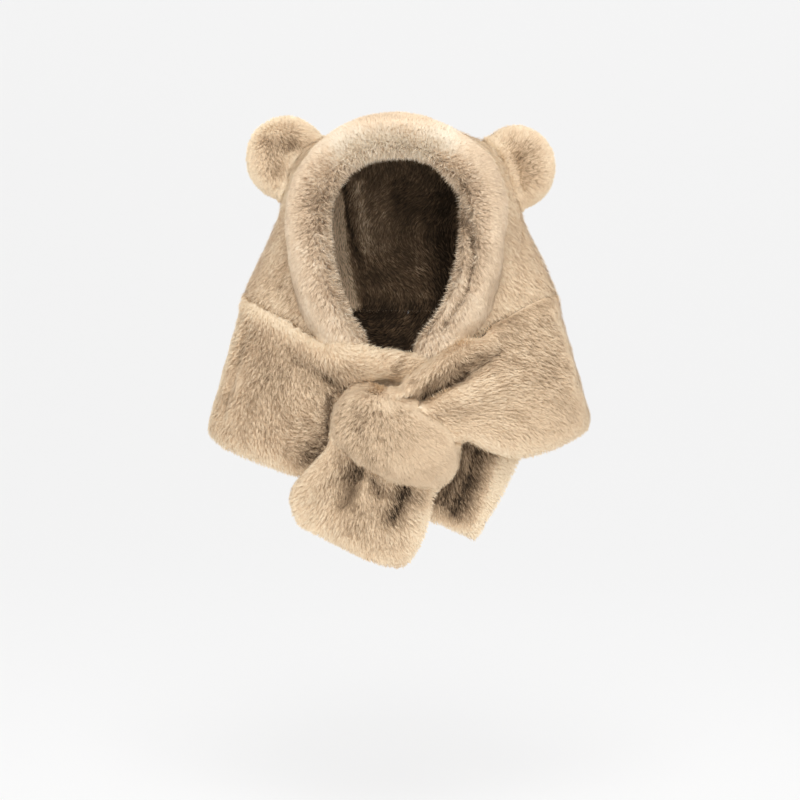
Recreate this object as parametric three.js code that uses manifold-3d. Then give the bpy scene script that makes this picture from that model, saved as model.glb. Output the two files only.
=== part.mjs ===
// Plush hood with round ears, a rolled brim and two crossed scarf ends held by a loop, in its worn form.
// Millimetres, +Z up, face towards -Y, origin inside the crown where the hood sits on the head.
import * as THREE from 'three';
import Module from 'manifold-3d';
import { mergeVertices } from 'three/addons/utils/BufferGeometryUtils.js';

// Layers and clearances
const shellThickness = 9;
const liningThickness = 5;
const bandThickness = 13;
const seatGap = 0.3;
const tuftHeight = 1.6;

// Hood, measured outside
const headWidth = 226;
const headFront = 80;
const headBack = 104;
const sideSeamDrop = 172;
const frontSeamDip = 50;
const backSeamDip = 16;
const seamWidth = 316;
const seamFront = 90;
const seamBack = 100;
const frontSquareness = 2.6;
const backSquareness = 2.2;

// Scarf round the shoulders
const hemWidth = 390;
const hemFront = 104;
const hemBack = 116;
const hemDrop = 128;

// Brim roll: its centre line is an egg round the face
const brimWidth = 166;
const brimRise = 78;
const brimFall = 138;
const brimWidestDrop = 78;
const brimForward = 80;
const brimLean = 8;
const brimEndAngle = 163;
const rollAcross = 44;
const rollDeep = 46;

// Ears
const earWidth = 87;
const earThickness = 24;

// Crossing, loop and tails
const chestLift = 5;
const collarBulge = 13;
const tailCorner = 12;
const loopLength = 134;
const loopWidth = 88;
const loopPuff = 17;
const loopTilt = 19;
const passClearance = 1;

// Share of the thickness left at a cloth edge, and how far in the rounding of the edges reaches
const edgeShare = 0.25;
const edgeReach = 0.09;

// Heights that follow from the sizes
const crownTop = shellThickness + seatGap + liningThickness;
const seamZ = crownTop - sideSeamDrop;
const brimCentreZ = -brimWidestDrop;
const openingBack = -brimForward + rollDeep + liningThickness;

// Hood profile from the crown to the seam, as shares of the named sizes; flare leads to the seam ring
const hoodProfile = [
  { drop: 0.0, side: 0.0, front: 0.0, back: 0.0, flare: 0.0 },
  { drop: 0.012, side: 0.27, front: 0.42, back: 0.27, flare: 0.0 },
  { drop: 0.04, side: 0.49, front: 0.69, back: 0.49, flare: 0.0 },
  { drop: 0.1, side: 0.71, front: 0.87, back: 0.7, flare: 0.0 },
  { drop: 0.2, side: 0.88, front: 0.96, back: 0.87, flare: 0.0 },
  { drop: 0.34, side: 0.97, front: 1.0, back: 0.97, flare: 0.0 },
  { drop: 0.5, side: 1.0, front: 1.0, back: 1.0, flare: 0.13 },
  { drop: 0.66, side: 1.0, front: 1.0, back: 1.0, flare: 0.44 },
  { drop: 0.83, side: 1.0, front: 1.0, back: 1.0, flare: 0.75 },
  { drop: 1.0, side: 1.0, front: 1.0, back: 1.0, flare: 1.0 },
];

// Soft dents of the shell: turn round the hood in degrees, place down the profile, depth, spread
const hoodDents = [
  { turn: -72, down: 0.74, depth: 0.5, turnSpread: 16, downSpread: 0.16 },
  { turn: 66, down: 0.7, depth: 0.55, turnSpread: 14, downSpread: 0.18 },
  { turn: 118, down: 0.66, depth: 0.45, turnSpread: 20, downSpread: 0.12 },
  { turn: -124, down: 0.62, depth: 0.45, turnSpread: 20, downSpread: 0.12 },
  { turn: 180, down: 0.78, depth: 0.7, turnSpread: 34, downSpread: 0.1 },
];

// Scarf stations from the centre back to each tail. Turns in degrees from the front, positive to +X.
// Heights are shares of the hem drop below the side seam; lift is a share of the named chest layers.
const leftStations = [
  { topTurn: -180, top: 0.0, endTurn: -180, end: 1.05, lift: 0.0 },
  { topTurn: -150, top: 0.0, endTurn: -150, end: 1.04, lift: 0.0 },
  { topTurn: -120, top: 0.0, endTurn: -120, end: 1.03, lift: 0.0 },
  { topTurn: -92, top: 0.0, endTurn: -92, end: 1.05, lift: 0.0 },
  { topTurn: -64, top: 0.03, endTurn: -64, end: 1.14, lift: 0.1 },
  { topTurn: -37, top: 0.16, endTurn: -37, end: 1.27, lift: 0.35 },
  { topTurn: -14, top: 0.33, endTurn: -14, end: 1.41, lift: 0.75 },
  { topTurn: -1, top: 0.37, endTurn: -2, end: 1.52, lift: 1.0 },
  { topTurn: 8, top: 0.42, endTurn: 4.5, end: 1.63, lift: 0.7 },
  { topTurn: 22, top: 0.71, endTurn: 11.5, end: 1.73, lift: -0.3 },
  { topTurn: 40, top: 1.03, endTurn: 19.5, end: 1.84, lift: -1.4 },
];
const rightStations = [
  { topTurn: 180, top: 0.0, endTurn: 180, end: 1.05, lift: 0.0 },
  { topTurn: 150, top: 0.0, endTurn: 150, end: 1.04, lift: 0.0 },
  { topTurn: 120, top: 0.0, endTurn: 120, end: 1.02, lift: 0.0 },
  { topTurn: 92, top: 0.0, endTurn: 92, end: 1.0, lift: 0.0 },
  { topTurn: 66, top: 0.03, endTurn: 71, end: 1.05, lift: 0.15 },
  { topTurn: 44, top: 0.13, endTurn: 53, end: 1.13, lift: 0.5 },
  { topTurn: 26, top: 0.25, endTurn: 33, end: 1.2, lift: 0.8 },
  { topTurn: 13, top: 0.37, endTurn: 22, end: 1.13, lift: 1.0 },
  { topTurn: 2.5, top: 0.59, endTurn: 14.5, end: 1.04, lift: 1.0 },
  { topTurn: -6, top: 0.8, endTurn: 7.5, end: 1.2, lift: 1.0 },
  { topTurn: -15.5, top: 1.13, endTurn: 9, end: 1.39, lift: 1.0 },
  { topTurn: -25.5, top: 1.41, endTurn: 6.5, end: 1.77, lift: 1.0 },
  { topTurn: -23, top: 1.66, endTurn: 2, end: 2.03, lift: 1.0 },
];

// Folds of each half: from and to station, place across the band, spread, height as a share of the bulge
const leftFolds = [
  { from: 5.2, to: 8.8, across: 0.1, spread: 0.1, height: 1.0, drift: -0.01 },
  { from: 5.5, to: 8.6, across: 0.24, spread: 0.04, height: -0.5, drift: -0.04 },
];
const rightFolds = [
  { from: 5.4, to: 8.9, across: 0.1, spread: 0.09, height: 0.9, drift: 0.02 },
  { from: 5.6, to: 8.8, across: 0.23, spread: 0.04, height: -0.85, drift: 0.05 },
  { from: 5.6, to: 9.0, across: 0.4, spread: 0.14, height: 0.55, drift: 0.05 },
  { from: 9.7, to: 12.4, across: 0.16, spread: 0.13, height: 0.8, drift: 0.0 },
  { from: 9.6, to: 11.6, across: 0.39, spread: 0.05, height: -0.6, drift: 0.02 },
  { from: 9.6, to: 11.9, across: 0.52, spread: 0.07, height: 0.5, drift: 0.0 },
  { from: 9.5, to: 10.9, across: 0.62, spread: 0.035, height: -0.45, drift: 0.0 },
  { from: 9.6, to: 12.2, across: 0.72, spread: 0.06, height: 0.45, drift: 0.0 },
  { from: 9.6, to: 11.5, across: 0.87, spread: 0.05, height: -0.6, drift: 0.0 },
];

// Brim roll sections: angle round the face from the top, as shares of the roll's two diameters
const rollSections = [
  { angle: -163, across: 0.8, deep: 0.8 },
  { angle: -120, across: 1.0, deep: 1.0 },
  { angle: -60, across: 0.98, deep: 1.02 },
  { angle: 0, across: 1.02, deep: 0.98 },
  { angle: 60, across: 1.04, deep: 1.0 },
  { angle: 120, across: 1.06, deep: 1.0 },
  { angle: 163, across: 0.84, deep: 0.8 },
];

// Creases of the roll: stretch of the egg, side of the section (90 faces the viewer), depth and spread
const rollCreases = [
  { from: 48, to: 140, side: 138, depth: 0.2, spread: 20 },
  { from: 10, to: 70, side: 28, depth: 0.07, spread: 16 },
  { from: -130, to: -60, side: 168, depth: 0.08, spread: 16 },
];

// Ears: place on the crown as shares of the hood, heading of the face, hollow of the cup
const ears = [
  { name: 'ear_left', side: -1, out: 0.985, up: -0.115, behind: 0.12, yaw: 14, lean: -9, cup: 0.42 },
  { name: 'ear_right', side: 1, out: 1.01, up: -0.17, behind: 0.06, yaw: -16, lean: 10, cup: -0.12 },
];

const finishes = {
  hood_shell: { color: 0xd6ba96, roughness: 0.95, metalness: 0 },
  hood_lining: { color: 0x4a3a2b, roughness: 0.95, metalness: 0 },
  brim_roll: { color: 0xe4cfb2, roughness: 0.95, metalness: 0 },
  ear_left: { color: 0xd9bd98, roughness: 0.95, metalness: 0 },
  ear_right: { color: 0xd9bd98, roughness: 0.95, metalness: 0 },
  scarf_left: { color: 0xcfb290, roughness: 0.95, metalness: 0 },
  scarf_right: { color: 0xd8c09d, roughness: 0.95, metalness: 0 },
  keeper_loop: { color: 0xddc6a4, roughness: 0.95, metalness: 0 },
};

const { clamp, degToRad, lerp, smoothstep } = THREE.MathUtils;
const signedPower = (value, power) => Math.sign(value) * Math.abs(value) ** power;
const bell = (distance, spread) => Math.exp(-((distance / spread) ** 2));

// Smooth row of a table between its whole rows
function rowAt(table, place) {
  const last = table.length - 1;
  const index = Math.min(Math.floor(place), last - 1);
  const t = place - index;
  const pick = (step) => table[clamp(index + step, 0, last)];
  const row = {};
  for (const key of Object.keys(table[0])) {
    const [a, b, c, d] = [pick(-1)[key], pick(0)[key], pick(1)[key], pick(2)[key]];
    const curve = 2 * b + (c - a) * t + (2 * a - 5 * b + 4 * c - d) * t * t + (3 * b - a - 3 * c + d) * t ** 3;
    row[key] = curve / 2;
  }
  return row;
}

// Place in a table whose first column grows, for a value of that column
function placeOf(table, key, value) {
  let index = 0;
  while (index < table.length - 2 && table[index + 1][key] < value) index += 1;
  const span = table[index + 1][key] - table[index][key];
  return index + clamp((value - table[index][key]) / span, 0, 1);
}

// Point of a ring round the body at a turn from the front
function ringPoint(turn, ring, z) {
  const angle = degToRad(turn);
  const front = Math.cos(angle) >= 0;
  const power = 2 / (front ? frontSquareness : backSquareness);
  const reach = front ? ring.front : ring.back;
  return new THREE.Vector3(
    ring.side * signedPower(Math.sin(angle), power),
    -reach * signedPower(Math.cos(angle), power),
    z,
  );
}

// Seam between hood and scarf: highest at the sides, dipping a little behind and more in front
function seamHeight(turn) {
  const facing = Math.cos(degToRad(turn));
  return seamZ - (facing > 0 ? frontSeamDip * facing ** 4 : backSeamDip * facing ** 2);
}

// Hood surface at a turn and a share of the way down, before layers are taken off
function hoodSurface(turn, down) {
  const row = rowAt(hoodProfile, placeOf(hoodProfile, 'drop', down));
  const place = clamp(row.drop, 0, 1);
  const ring = {
    side: (headWidth / 2) * row.side + ((seamWidth - headWidth) / 2) * row.flare,
    front: headFront * row.front + (seamFront - headFront) * row.flare,
    back: headBack * row.back + (seamBack - headBack) * row.flare,
  };
  return ringPoint(turn, ring, lerp(crownTop, seamHeight(turn), place));
}

// Outward direction of the hood, turned level towards the seam so that the rims stay in one surface
const levelFrom = 0.7;

function hoodNormal(turn, down) {
  const step = 0.004;
  const along = hoodSurface(turn, Math.min(down + step, 1)).sub(hoodSurface(turn, Math.max(down - step, 0)));
  const around = hoodSurface(turn + 1, down).sub(hoodSurface(turn - 1, down));
  const normal = along.cross(around).normalize();
  normal.z *= 1 - smoothstep(down, levelFrom, 1);
  return normal.normalize();
}

function dentDepth(turn, down) {
  let depth = 0;
  for (const dent of hoodDents) {
    const away = Math.abs(((turn - dent.turn + 540) % 360) - 180);
    depth += dent.depth * bell(away, dent.turnSpread) * bell(down - dent.down, dent.downSpread);
  }
  return depth * shellThickness;
}

// Rows and turns of the hood grids; the rows crowd where the crown curves
const hoodTurns = 38;
const outerRows = 15;
const innerRows = 7;
const crownShare = 0.35;
const downAt = (share) => crownShare * share ** 2 + (1 - crownShare) * share ** 1.6;

// One surface of the hood at a depth under its outside; tufts only on the outside
function hoodLayer(depth, rows, tufts) {
  const pole = new THREE.Vector3(0, 0, crownTop - depth);
  const rings = [];
  for (let row = 1; row <= rows; row += 1) {
    const down = downAt(row / rows);
    const ring = [];
    for (let step = 0; step < hoodTurns; step += 1) {
      const turn = (360 * step) / hoodTurns;
      const tuft = tufts && row < rows && (row + step) % 2 === 0 ? tuftHeight : 0;
      const inset = depth + dentDepth(turn, down) - tuft;
      ring.push(hoodSurface(turn, down).addScaledVector(hoodNormal(turn, down), -inset));
    }
    rings.push(ring);
  }
  return { pole, rings };
}

// Closed geometry from corner positions and faces, turned so that its faces point out
function closedGeometry(corners, faces) {
  let volume = 0;
  for (const [a, b, c] of faces) {
    volume += corners[a].dot(corners[b].clone().cross(corners[c]));
  }
  const index = faces.flatMap(([a, b, c]) => (volume > 0 ? [a, b, c] : [a, c, b]));
  const geometry = new THREE.BufferGeometry();
  geometry.setAttribute('position', new THREE.Float32BufferAttribute(corners.flatMap((p) => p.toArray()), 3));
  geometry.setIndex(index);
  return geometry;
}

// Two faces of a quad; the odd ones are split along their other diagonal, so that tufts stand alone
function quad(faces, [a, b, c, d], odd = false) {
  faces.push(...(odd ? [[b, c, d], [b, d, a]] : [[a, b, c], [a, c, d]]));
}

// Faces of a skin from a pole over closed rings; the first corner is the pole
function addCap(corners, faces, pole, rings, inward) {
  const start = corners.length;
  corners.push(pole, ...rings.flat());
  const count = rings[0].length;
  const at = (row, step) => start + 1 + row * count + (step % count);
  for (let step = 0; step < count; step += 1) {
    const fan = [start, at(0, step), at(0, step + 1)];
    faces.push(inward ? fan.reverse() : fan);
    for (let row = 0; row + 1 < rings.length; row += 1) {
      const ends = [at(row, step), at(row + 1, step), at(row + 1, step + 1), at(row, step + 1)];
      const raised = (row + 1 + step) % 2 === 0;
      quad(faces, inward ? ends.reverse() : ends, inward ? !raised : raised);
    }
  }
  return (step) => at(rings.length - 1, step);
}

// Solid between two skins that end in matching rings, such as a hood wall or an ear
function twoSkins(outer, inner) {
  const corners = [];
  const faces = [];
  const outerRim = addCap(corners, faces, outer.pole, outer.rings, false);
  const innerRim = addCap(corners, faces, inner.pole, inner.rings, true);
  const count = outer.rings[0].length;
  for (let step = 0; step < count; step += 1) {
    quad(faces, [outerRim(step), innerRim(step), innerRim(step + 1), outerRim(step + 1)]);
  }
  return closedGeometry(corners, faces);
}

// Solid through closed rings with a pole at each end
function loftSolid(firstPole, rings, lastPole) {
  const corners = [];
  const faces = [];
  const rim = addCap(corners, faces, firstPole, rings, false);
  const pole = corners.push(lastPole) - 1;
  for (let step = 0; step < rings[0].length; step += 1) {
    faces.push([rim(step), pole, rim(step + 1)]);
  }
  return closedGeometry(corners, faces);
}

// Solid between a front grid and a back grid of the same size
function thickSheet(front, back) {
  const rows = front.length;
  const columns = front[0].length;
  const corners = [...front.flat(), ...back.flat()];
  const faces = [];
  const at = (side, row, column) => side * rows * columns + row * columns + column;
  for (let row = 0; row + 1 < rows; row += 1) {
    for (let column = 0; column + 1 < columns; column += 1) {
      const ends = [[row, column], [row + 1, column], [row + 1, column + 1], [row, column + 1]];
      quad(faces, ends.map(([r, c]) => at(0, r, c)), (row + column) % 2 === 0);
      quad(faces, ends.reverse().map(([r, c]) => at(1, r, c)));
    }
    quad(faces, [at(0, row, 0), at(1, row, 0), at(1, row + 1, 0), at(0, row + 1, 0)]);
    const end = columns - 1;
    quad(faces, [at(0, row + 1, end), at(1, row + 1, end), at(1, row, end), at(0, row, end)]);
  }
  for (let column = 0; column + 1 < columns; column += 1) {
    quad(faces, [at(0, 0, column + 1), at(1, 0, column + 1), at(1, 0, column), at(0, 0, column)]);
    const end = rows - 1;
    quad(faces, [at(0, end, column), at(1, end, column), at(1, end, column + 1), at(0, end, column + 1)]);
  }
  return closedGeometry(corners, faces);
}

// Boolean solids
const wasm = await Module();
wasm.setup();

function toSolid(geometry) {
  const bare = geometry.clone();
  bare.deleteAttribute('normal');
  bare.deleteAttribute('uv');
  const merged = mergeVertices(bare, 1e-4);
  const vertProperties = new Float32Array(merged.attributes.position.array);
  const triVerts = new Uint32Array(merged.index.array);
  return new wasm.Manifold(new wasm.Mesh({ numProp: 3, vertProperties, triVerts }));
}

function toGeometry(solid) {
  const mesh = solid.getMesh();
  const geometry = new THREE.BufferGeometry();
  geometry.setAttribute('position', new THREE.BufferAttribute(new Float32Array(mesh.vertProperties), 3));
  geometry.setIndex(new THREE.BufferAttribute(new Uint32Array(mesh.triVerts), 1));
  return geometry;
}

// What is left of a piece after its neighbours are cut away: its largest body
function fitted(geometry, cutters) {
  const cut = cutters.reduce((solid, cutter) => solid.subtract(toSolid(cutter)), toSolid(geometry));
  const bodies = cut.decompose();
  const largest = bodies.reduce((best, body) => (body.volume() > best.volume() ? body : best));
  return toGeometry(largest);
}

// Scarf ring at a height, from the seam ring to the hem ring and straight down below it
function scarfRing(z, lift) {
  const share = clamp((seamZ - z) / hemDrop, 0, 1);
  const inset = bandThickness / 2;
  return {
    side: lerp(seamWidth, hemWidth, share) / 2 - inset,
    front: lerp(seamFront, hemFront, share) - inset + lift,
    back: lerp(seamBack, hemBack, share) - inset,
  };
}

// Middle surface of one scarf half: stations along it, across from the top edge to the lower edge
function scarfMiddle(stations, layer, place, across) {
  const row = rowAt(stations, place);
  const top = Math.min(seamZ - row.top * hemDrop, seamHeight(row.topTurn) - seatGap);
  const end = seamZ - row.end * hemDrop;
  const z = lerp(top, end, across);
  const turn = lerp(row.topTurn, row.endTurn, across);
  return ringPoint(turn, scarfRing(z, row.lift * layer), z);
}

// Stations over which a fold rises and dies away
const foldRise = 0.9;
const foldFall = 0.7;

function foldRelief(folds, place, across) {
  let relief = 0;
  for (const fold of folds) {
    const middle = (fold.from + fold.to) / 2;
    const centre = fold.across + fold.drift * (place - middle);
    const rise = smoothstep(place, fold.from, fold.from + foldRise);
    const fade = rise * (1 - smoothstep(place, fold.to - foldFall, fold.to));
    relief += fold.height * fade * bell(across - centre, fold.spread);
  }
  return relief * collarBulge;
}

// Share of the full thickness near an edge, so that the edges come out round
function roundEdge(distance, radius) {
  const near = 1 - clamp(distance / radius, 0, 1);
  return edgeShare + (1 - edgeShare) * Math.sqrt(1 - near * near);
}

// Grid of a scarf half: coarse behind, finer from the shoulder on, finest at the fold lines and edges
const shoulderStation = 4;
const backSteps = 8;
const stationSteps = 4;
const lastStep = 0.1;
const alongStep = 0.02;
const acrossStep = 0.01;
const acrossShares = [0, 0.03, 0.09, 0.16, 0.22, 0.29, 0.38, 0.5, 0.63, 0.77, 0.9, 0.97, 1];

function stationPlaces(last) {
  const places = [];
  for (let step = 0; step < backSteps; step += 1) places.push((shoulderStation * step) / backSteps);
  for (let place = shoulderStation; place < last; place += 1 / stationSteps) places.push(place);
  places.push(last - lastStep, last);
  return places;
}

// One scarf half as a solid; grow opens it all round, for cutting its neighbours
function scarfHalf({ stations, folds, layer, plainFrom, plainTo }, grow) {
  const last = stations.length - 1;
  const places = stationPlaces(last);
  const middle = (place, across) => scarfMiddle(stations, layer, place, across);
  const cornerShare = (2 * tailCorner) / middle(last, 0).distanceTo(middle(last, 1));
  const cornerStations = tailCorner / middle(last, 0.5).distanceTo(middle(last - 1, 0.5));
  const front = [];
  const back = [];
  places.forEach((place, step) => {
    const near = 1 - clamp((last - place) / cornerStations, 0, 1);
    const narrow = 1 - cornerShare * (1 - Math.sqrt(1 - near * near));
    const frontRow = [];
    const backRow = [];
    acrossShares.forEach((share, column) => {
      const across = 0.5 + (share - 0.5) * narrow;
      const before = middle(Math.max(place - alongStep, 0), across);
      const along = middle(Math.min(place + alongStep, last), across).sub(before);
      const down = middle(place, across + acrossStep).sub(middle(place, across - acrossStep)).normalize();
      const normal = along.normalize().clone().cross(down).normalize();
      if (normal.dot(middle(place, across).setZ(0)) < 0) normal.negate();
      const endShape = roundEdge(last - place, cornerStations / 2);
      const edge = Math.min(roundEdge(share, edgeReach), roundEdge(1 - share, edgeReach), endShape);
      const inner = column > 0 && column < acrossShares.length - 1 && step > 0 && place < last;
      const plain = place > plainFrom && place < plainTo;
      const tuft = inner && !plain && (step + column) % 2 === 0 ? tuftHeight : 0;
      const relief = edge * (foldRelief(folds, place, across) + tuft);
      const half = (bandThickness / 2) * edge + grow;
      const outset = along.multiplyScalar(place === last ? grow : 0);
      if (step === 0 && grow === 0) outset.x = Math.sign(stations[1].topTurn) * (seatGap / 2);
      outset.addScaledVector(down, grow * (Math.sign(share - 0.5) * (inner ? 0 : 1)));
      frontRow.push(middle(place, across).addScaledVector(normal, half + relief).add(outset));
      backRow.push(middle(place, across).addScaledVector(normal, -half).add(outset));
    });
    front.push(frontRow);
    back.push(backRow);
  });
  return thickSheet(front, back);
}

const leftLayer = chestLift;
const rightLayer = chestLift + bandThickness + seatGap + passClearance;
const leftHalf = { stations: leftStations, folds: leftFolds, layer: leftLayer, plainFrom: 6.8, plainTo: 12 };
const rightHalf = { stations: rightStations, folds: rightFolds, layer: rightLayer, plainFrom: 7.4, plainTo: 10.2 };

// Egg line of the brim at an angle from the top, and its outward direction in the plane of the face
function eggPoint(angle, grow) {
  const turn = degToRad(angle);
  const height = Math.cos(turn) >= 0 ? brimRise : brimFall;
  return new THREE.Vector3(
    (brimWidth / 2 + grow) * Math.sin(turn),
    -brimForward + brimLean * Math.cos(turn),
    brimCentreZ + (height + grow) * Math.cos(turn),
  );
}

// Degrees of the egg over which a crease rises and dies away
const creaseFade = 22;

function creaseDepth(angle, side) {
  let depth = 0;
  for (const crease of rollCreases) {
    const rise = smoothstep(angle, crease.from, crease.from + creaseFade);
    const fade = rise * (1 - smoothstep(angle, crease.to - creaseFade, crease.to));
    depth += crease.depth * fade * bell(side - crease.side, crease.spread);
  }
  return depth;
}

// Steps along the roll, corners of its section, share of the egg from which its ends close,
// and the sides of the section between which the tufts stand
const rollSteps = 42;
const rollSides = 14;
const rollCloseFrom = 0.95;
const rollCloseReach = 0.06;
const tuftSides = [10, 170];

function brimRoll(grow) {
  const rings = [];
  for (let step = 0; step <= rollSteps; step += 1) {
    const share = (2 * step) / rollSteps - 1;
    const angle = brimEndAngle * share;
    const centre = eggPoint(angle, 0);
    const tangent = eggPoint(angle + 0.5, 0).sub(eggPoint(angle - 0.5, 0)).setY(0).normalize();
    const outward = new THREE.Vector3(-tangent.z, 0, tangent.x);
    const section = rowAt(rollSections, placeOf(rollSections, 'angle', angle));
    const close = Math.sqrt(1 - Math.max(0, (Math.abs(share) - rollCloseFrom) / rollCloseReach) ** 2);
    const ring = [];
    for (let spoke = 0; spoke < rollSides; spoke += 1) {
      const side = (360 * spoke) / rollSides;
      const turn = degToRad(side);
      const tufted = (step + spoke) % 2 === 0 && side > tuftSides[0] && side < tuftSides[1];
      const size = (1 - creaseDepth(angle, side)) * close;
      const lift = grow + (tufted ? tuftHeight * close : 0);
      const out = (rollAcross / 2) * section.across * size + lift;
      const fore = (rollDeep / 2) * section.deep * size + lift;
      ring.push(centre.clone().addScaledVector(outward, out * Math.cos(turn)).add(
        new THREE.Vector3(0, -fore * Math.sin(turn), 0),
      ));
    }
    rings.push(ring);
  }
  const mean = (ring) => ring.reduce((sum, p) => sum.add(p), new THREE.Vector3()).divideScalar(ring.length);
  return loftSolid(mean(rings[0]), rings, mean(rings[rollSteps]));
}

// Face opening through the front of the hood, as wide as the egg line
function faceOpening() {
  const sides = 40;
  const rings = [-2 * brimForward, openingBack].map((y) => {
    const ring = [];
    for (let step = 0; step < sides; step += 1) ring.push(eggPoint((360 * step) / sides, 0).setY(y));
    return ring;
  });
  const pole = (y) => new THREE.Vector3(0, y, brimCentreZ);
  return loftSolid(pole(rings[0][0].y), rings, pole(rings[1][0].y));
}

// Hood without its hollow, grown by the gap, for seating the ears
function solidHood(grow) {
  const { pole, rings } = hoodLayer(-grow, outerRows, false);
  return loftSolid(pole, rings, new THREE.Vector3(0, 0, seamZ));
}

// Rings of an ear as shares of its radius, corners of a ring, and the shape of its puff and cup
const earRings = [0.3, 0.55, 0.74, 0.88, 0.97, 1];
const earSegments = 22;
const puffPower = 2.6;
const puffShare = 0.93;
const cupSpread = 0.62;
const cupTilt = 0.25;

// Ear as a puffed disc; the cup hollows its face, the base runs into the hood and is cut there
function earSolid({ side, out, up, behind, yaw, lean, cup }) {
  const frame = new THREE.Matrix4().makeRotationFromEuler(
    new THREE.Euler(0, degToRad(lean), degToRad(yaw), 'ZYX'),
  );
  const centre = new THREE.Vector3(side * out * (headWidth / 2), -behind * headFront, up * sideSeamDrop);
  const skin = (face) => {
    const height = (radius, angle) => {
      const round = Math.sqrt(1 - puffShare * radius ** puffPower);
      const hollow = face < 0 ? cup * bell(radius, cupSpread) * (1 + cupTilt * Math.sin(angle)) : 0;
      return face * (earThickness / 2) * (round - hollow);
    };
    const place = (radius, angle, lift) => {
      const local = new THREE.Vector3(
        (earWidth / 2) * radius * Math.cos(angle),
        height(radius, angle) + face * lift,
        (earWidth / 2) * radius * Math.sin(angle),
      );
      return local.applyMatrix4(frame).add(centre);
    };
    return {
      pole: place(0, 0, 0),
      rings: earRings.map((radius, row) => {
        const ring = [];
        for (let step = 0; step < earSegments; step += 1) {
          const tuft = row < earRings.length - 1 && (row + step) % 2 === 0 ? tuftHeight : 0;
          ring.push(place(radius, (2 * Math.PI * step) / earSegments, tuft));
        }
        return ring;
      }),
    };
  };
  return twoSkins(skin(-1), skin(1));
}

// Loop over the right scarf end: a puffed bridge whose two ends come down on the left scarf end.
// Its station on the band, grid, end widths, rounding, skew, puff, and where its feet begin.
const loopStation = 9.06;
const loopRows = 12;
const loopColumns = 8;
const loopCrowding = 0.85;
const loopEndWidth = 0.66;
const loopEndRound = 0.3;
const loopSkew = 0.06;
const loopPuffAlong = 0.96;
const loopPuffAcross = 0.94;
const loopFootFrom = 0.62;
const loopFootDepth = 1;

function keeperLoop() {
  const centre = scarfMiddle(rightStations, rightLayer, loopStation, 0.5);
  const tilt = degToRad(loopTilt);
  const long = new THREE.Vector3(Math.cos(tilt), 0, -Math.sin(tilt));
  const wide = new THREE.Vector3(-Math.sin(tilt), 0, -Math.cos(tilt));
  const bandFront = bandThickness / 2 + seatGap;
  const reachBack = bandThickness + rightLayer;
  const front = [];
  const back = [];
  for (let row = 0; row <= loopRows; row += 1) {
    const frontRow = [];
    const backRow = [];
    for (let column = 0; column <= loopColumns; column += 1) {
      const u = signedPower((2 * row) / loopRows - 1, loopCrowding);
      const v = signedPower((2 * column) / loopColumns - 1, loopCrowding);
      const taper = lerp(1, loopEndWidth, Math.abs(u) ** 2.5);
      const puff = Math.sqrt((1 - loopPuffAlong * Math.abs(u) ** 3) * (1 - loopPuffAcross * Math.abs(v) ** 3));
      const inner = row > 0 && row < loopRows && column > 0 && column < loopColumns;
      const tuft = inner && (row + column) % 2 === 0 ? tuftHeight : 0;
      const spot = centre.clone()
        .addScaledVector(long, (loopLength / 2) * u * Math.sqrt(1 - loopEndRound * v * v))
        .addScaledVector(wide, (loopWidth / 2) * v * taper + loopSkew * loopWidth * u);
      const height = lerp(-bandFront, bandFront + loopPuff, puff) + tuft;
      const depth = Math.abs(u) > loopFootFrom ? reachBack : loopFootDepth;
      frontRow.push(spot.clone().setY(spot.y - height));
      backRow.push(spot.clone().setY(spot.y + Math.max(depth, bandFront + loopFootDepth)));
    }
    front.push(frontRow);
    back.push(backRow);
  }
  return thickSheet(front, back);
}

// The hood_shell, hood_lining, brim_roll, ears, scarf halves and loop as fitted geometries
const leftCutter = scarfHalf(leftHalf, seatGap);
const rightCutter = scarfHalf(rightHalf, seatGap);
const rollCutter = brimRoll(seatGap);
const liningDepth = shellThickness + seatGap;
const hoodCutters = [faceOpening(), rollCutter, leftCutter, rightCutter];
const pieces = {
  hood_shell: fitted(
    twoSkins(hoodLayer(0, outerRows, true), hoodLayer(shellThickness, innerRows, false)),
    hoodCutters,
  ),
  hood_lining: fitted(
    twoSkins(hoodLayer(liningDepth, innerRows, false), hoodLayer(liningDepth + liningThickness, innerRows, false)),
    hoodCutters,
  ),
  brim_roll: fitted(brimRoll(0), [leftCutter, rightCutter]),
  scarf_right: scarfHalf(rightHalf, 0),
  scarf_left: fitted(scarfHalf(leftHalf, 0), [rightCutter]),
  keeper_loop: fitted(keeperLoop(), [rightCutter, leftCutter]),
};
for (const ear of ears) {
  pieces[ear.name] = fitted(earSolid(ear), [solidHood(seatGap + tuftHeight)]);
}

const hoodScarf = new THREE.Group();
for (const [name, geometry] of Object.entries(pieces)) {
  geometry.computeVertexNormals();
  const mesh = new THREE.Mesh(geometry, new THREE.MeshStandardMaterial(finishes[name]));
  mesh.name = name;
  hoodScarf.add(mesh);
}

export default hoodScarf;
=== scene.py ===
import math

import bmesh
import bpy
import numpy as np
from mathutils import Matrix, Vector
from mathutils.bvhtree import BVHTree
from mathutils.kdtree import KDTree


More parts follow.
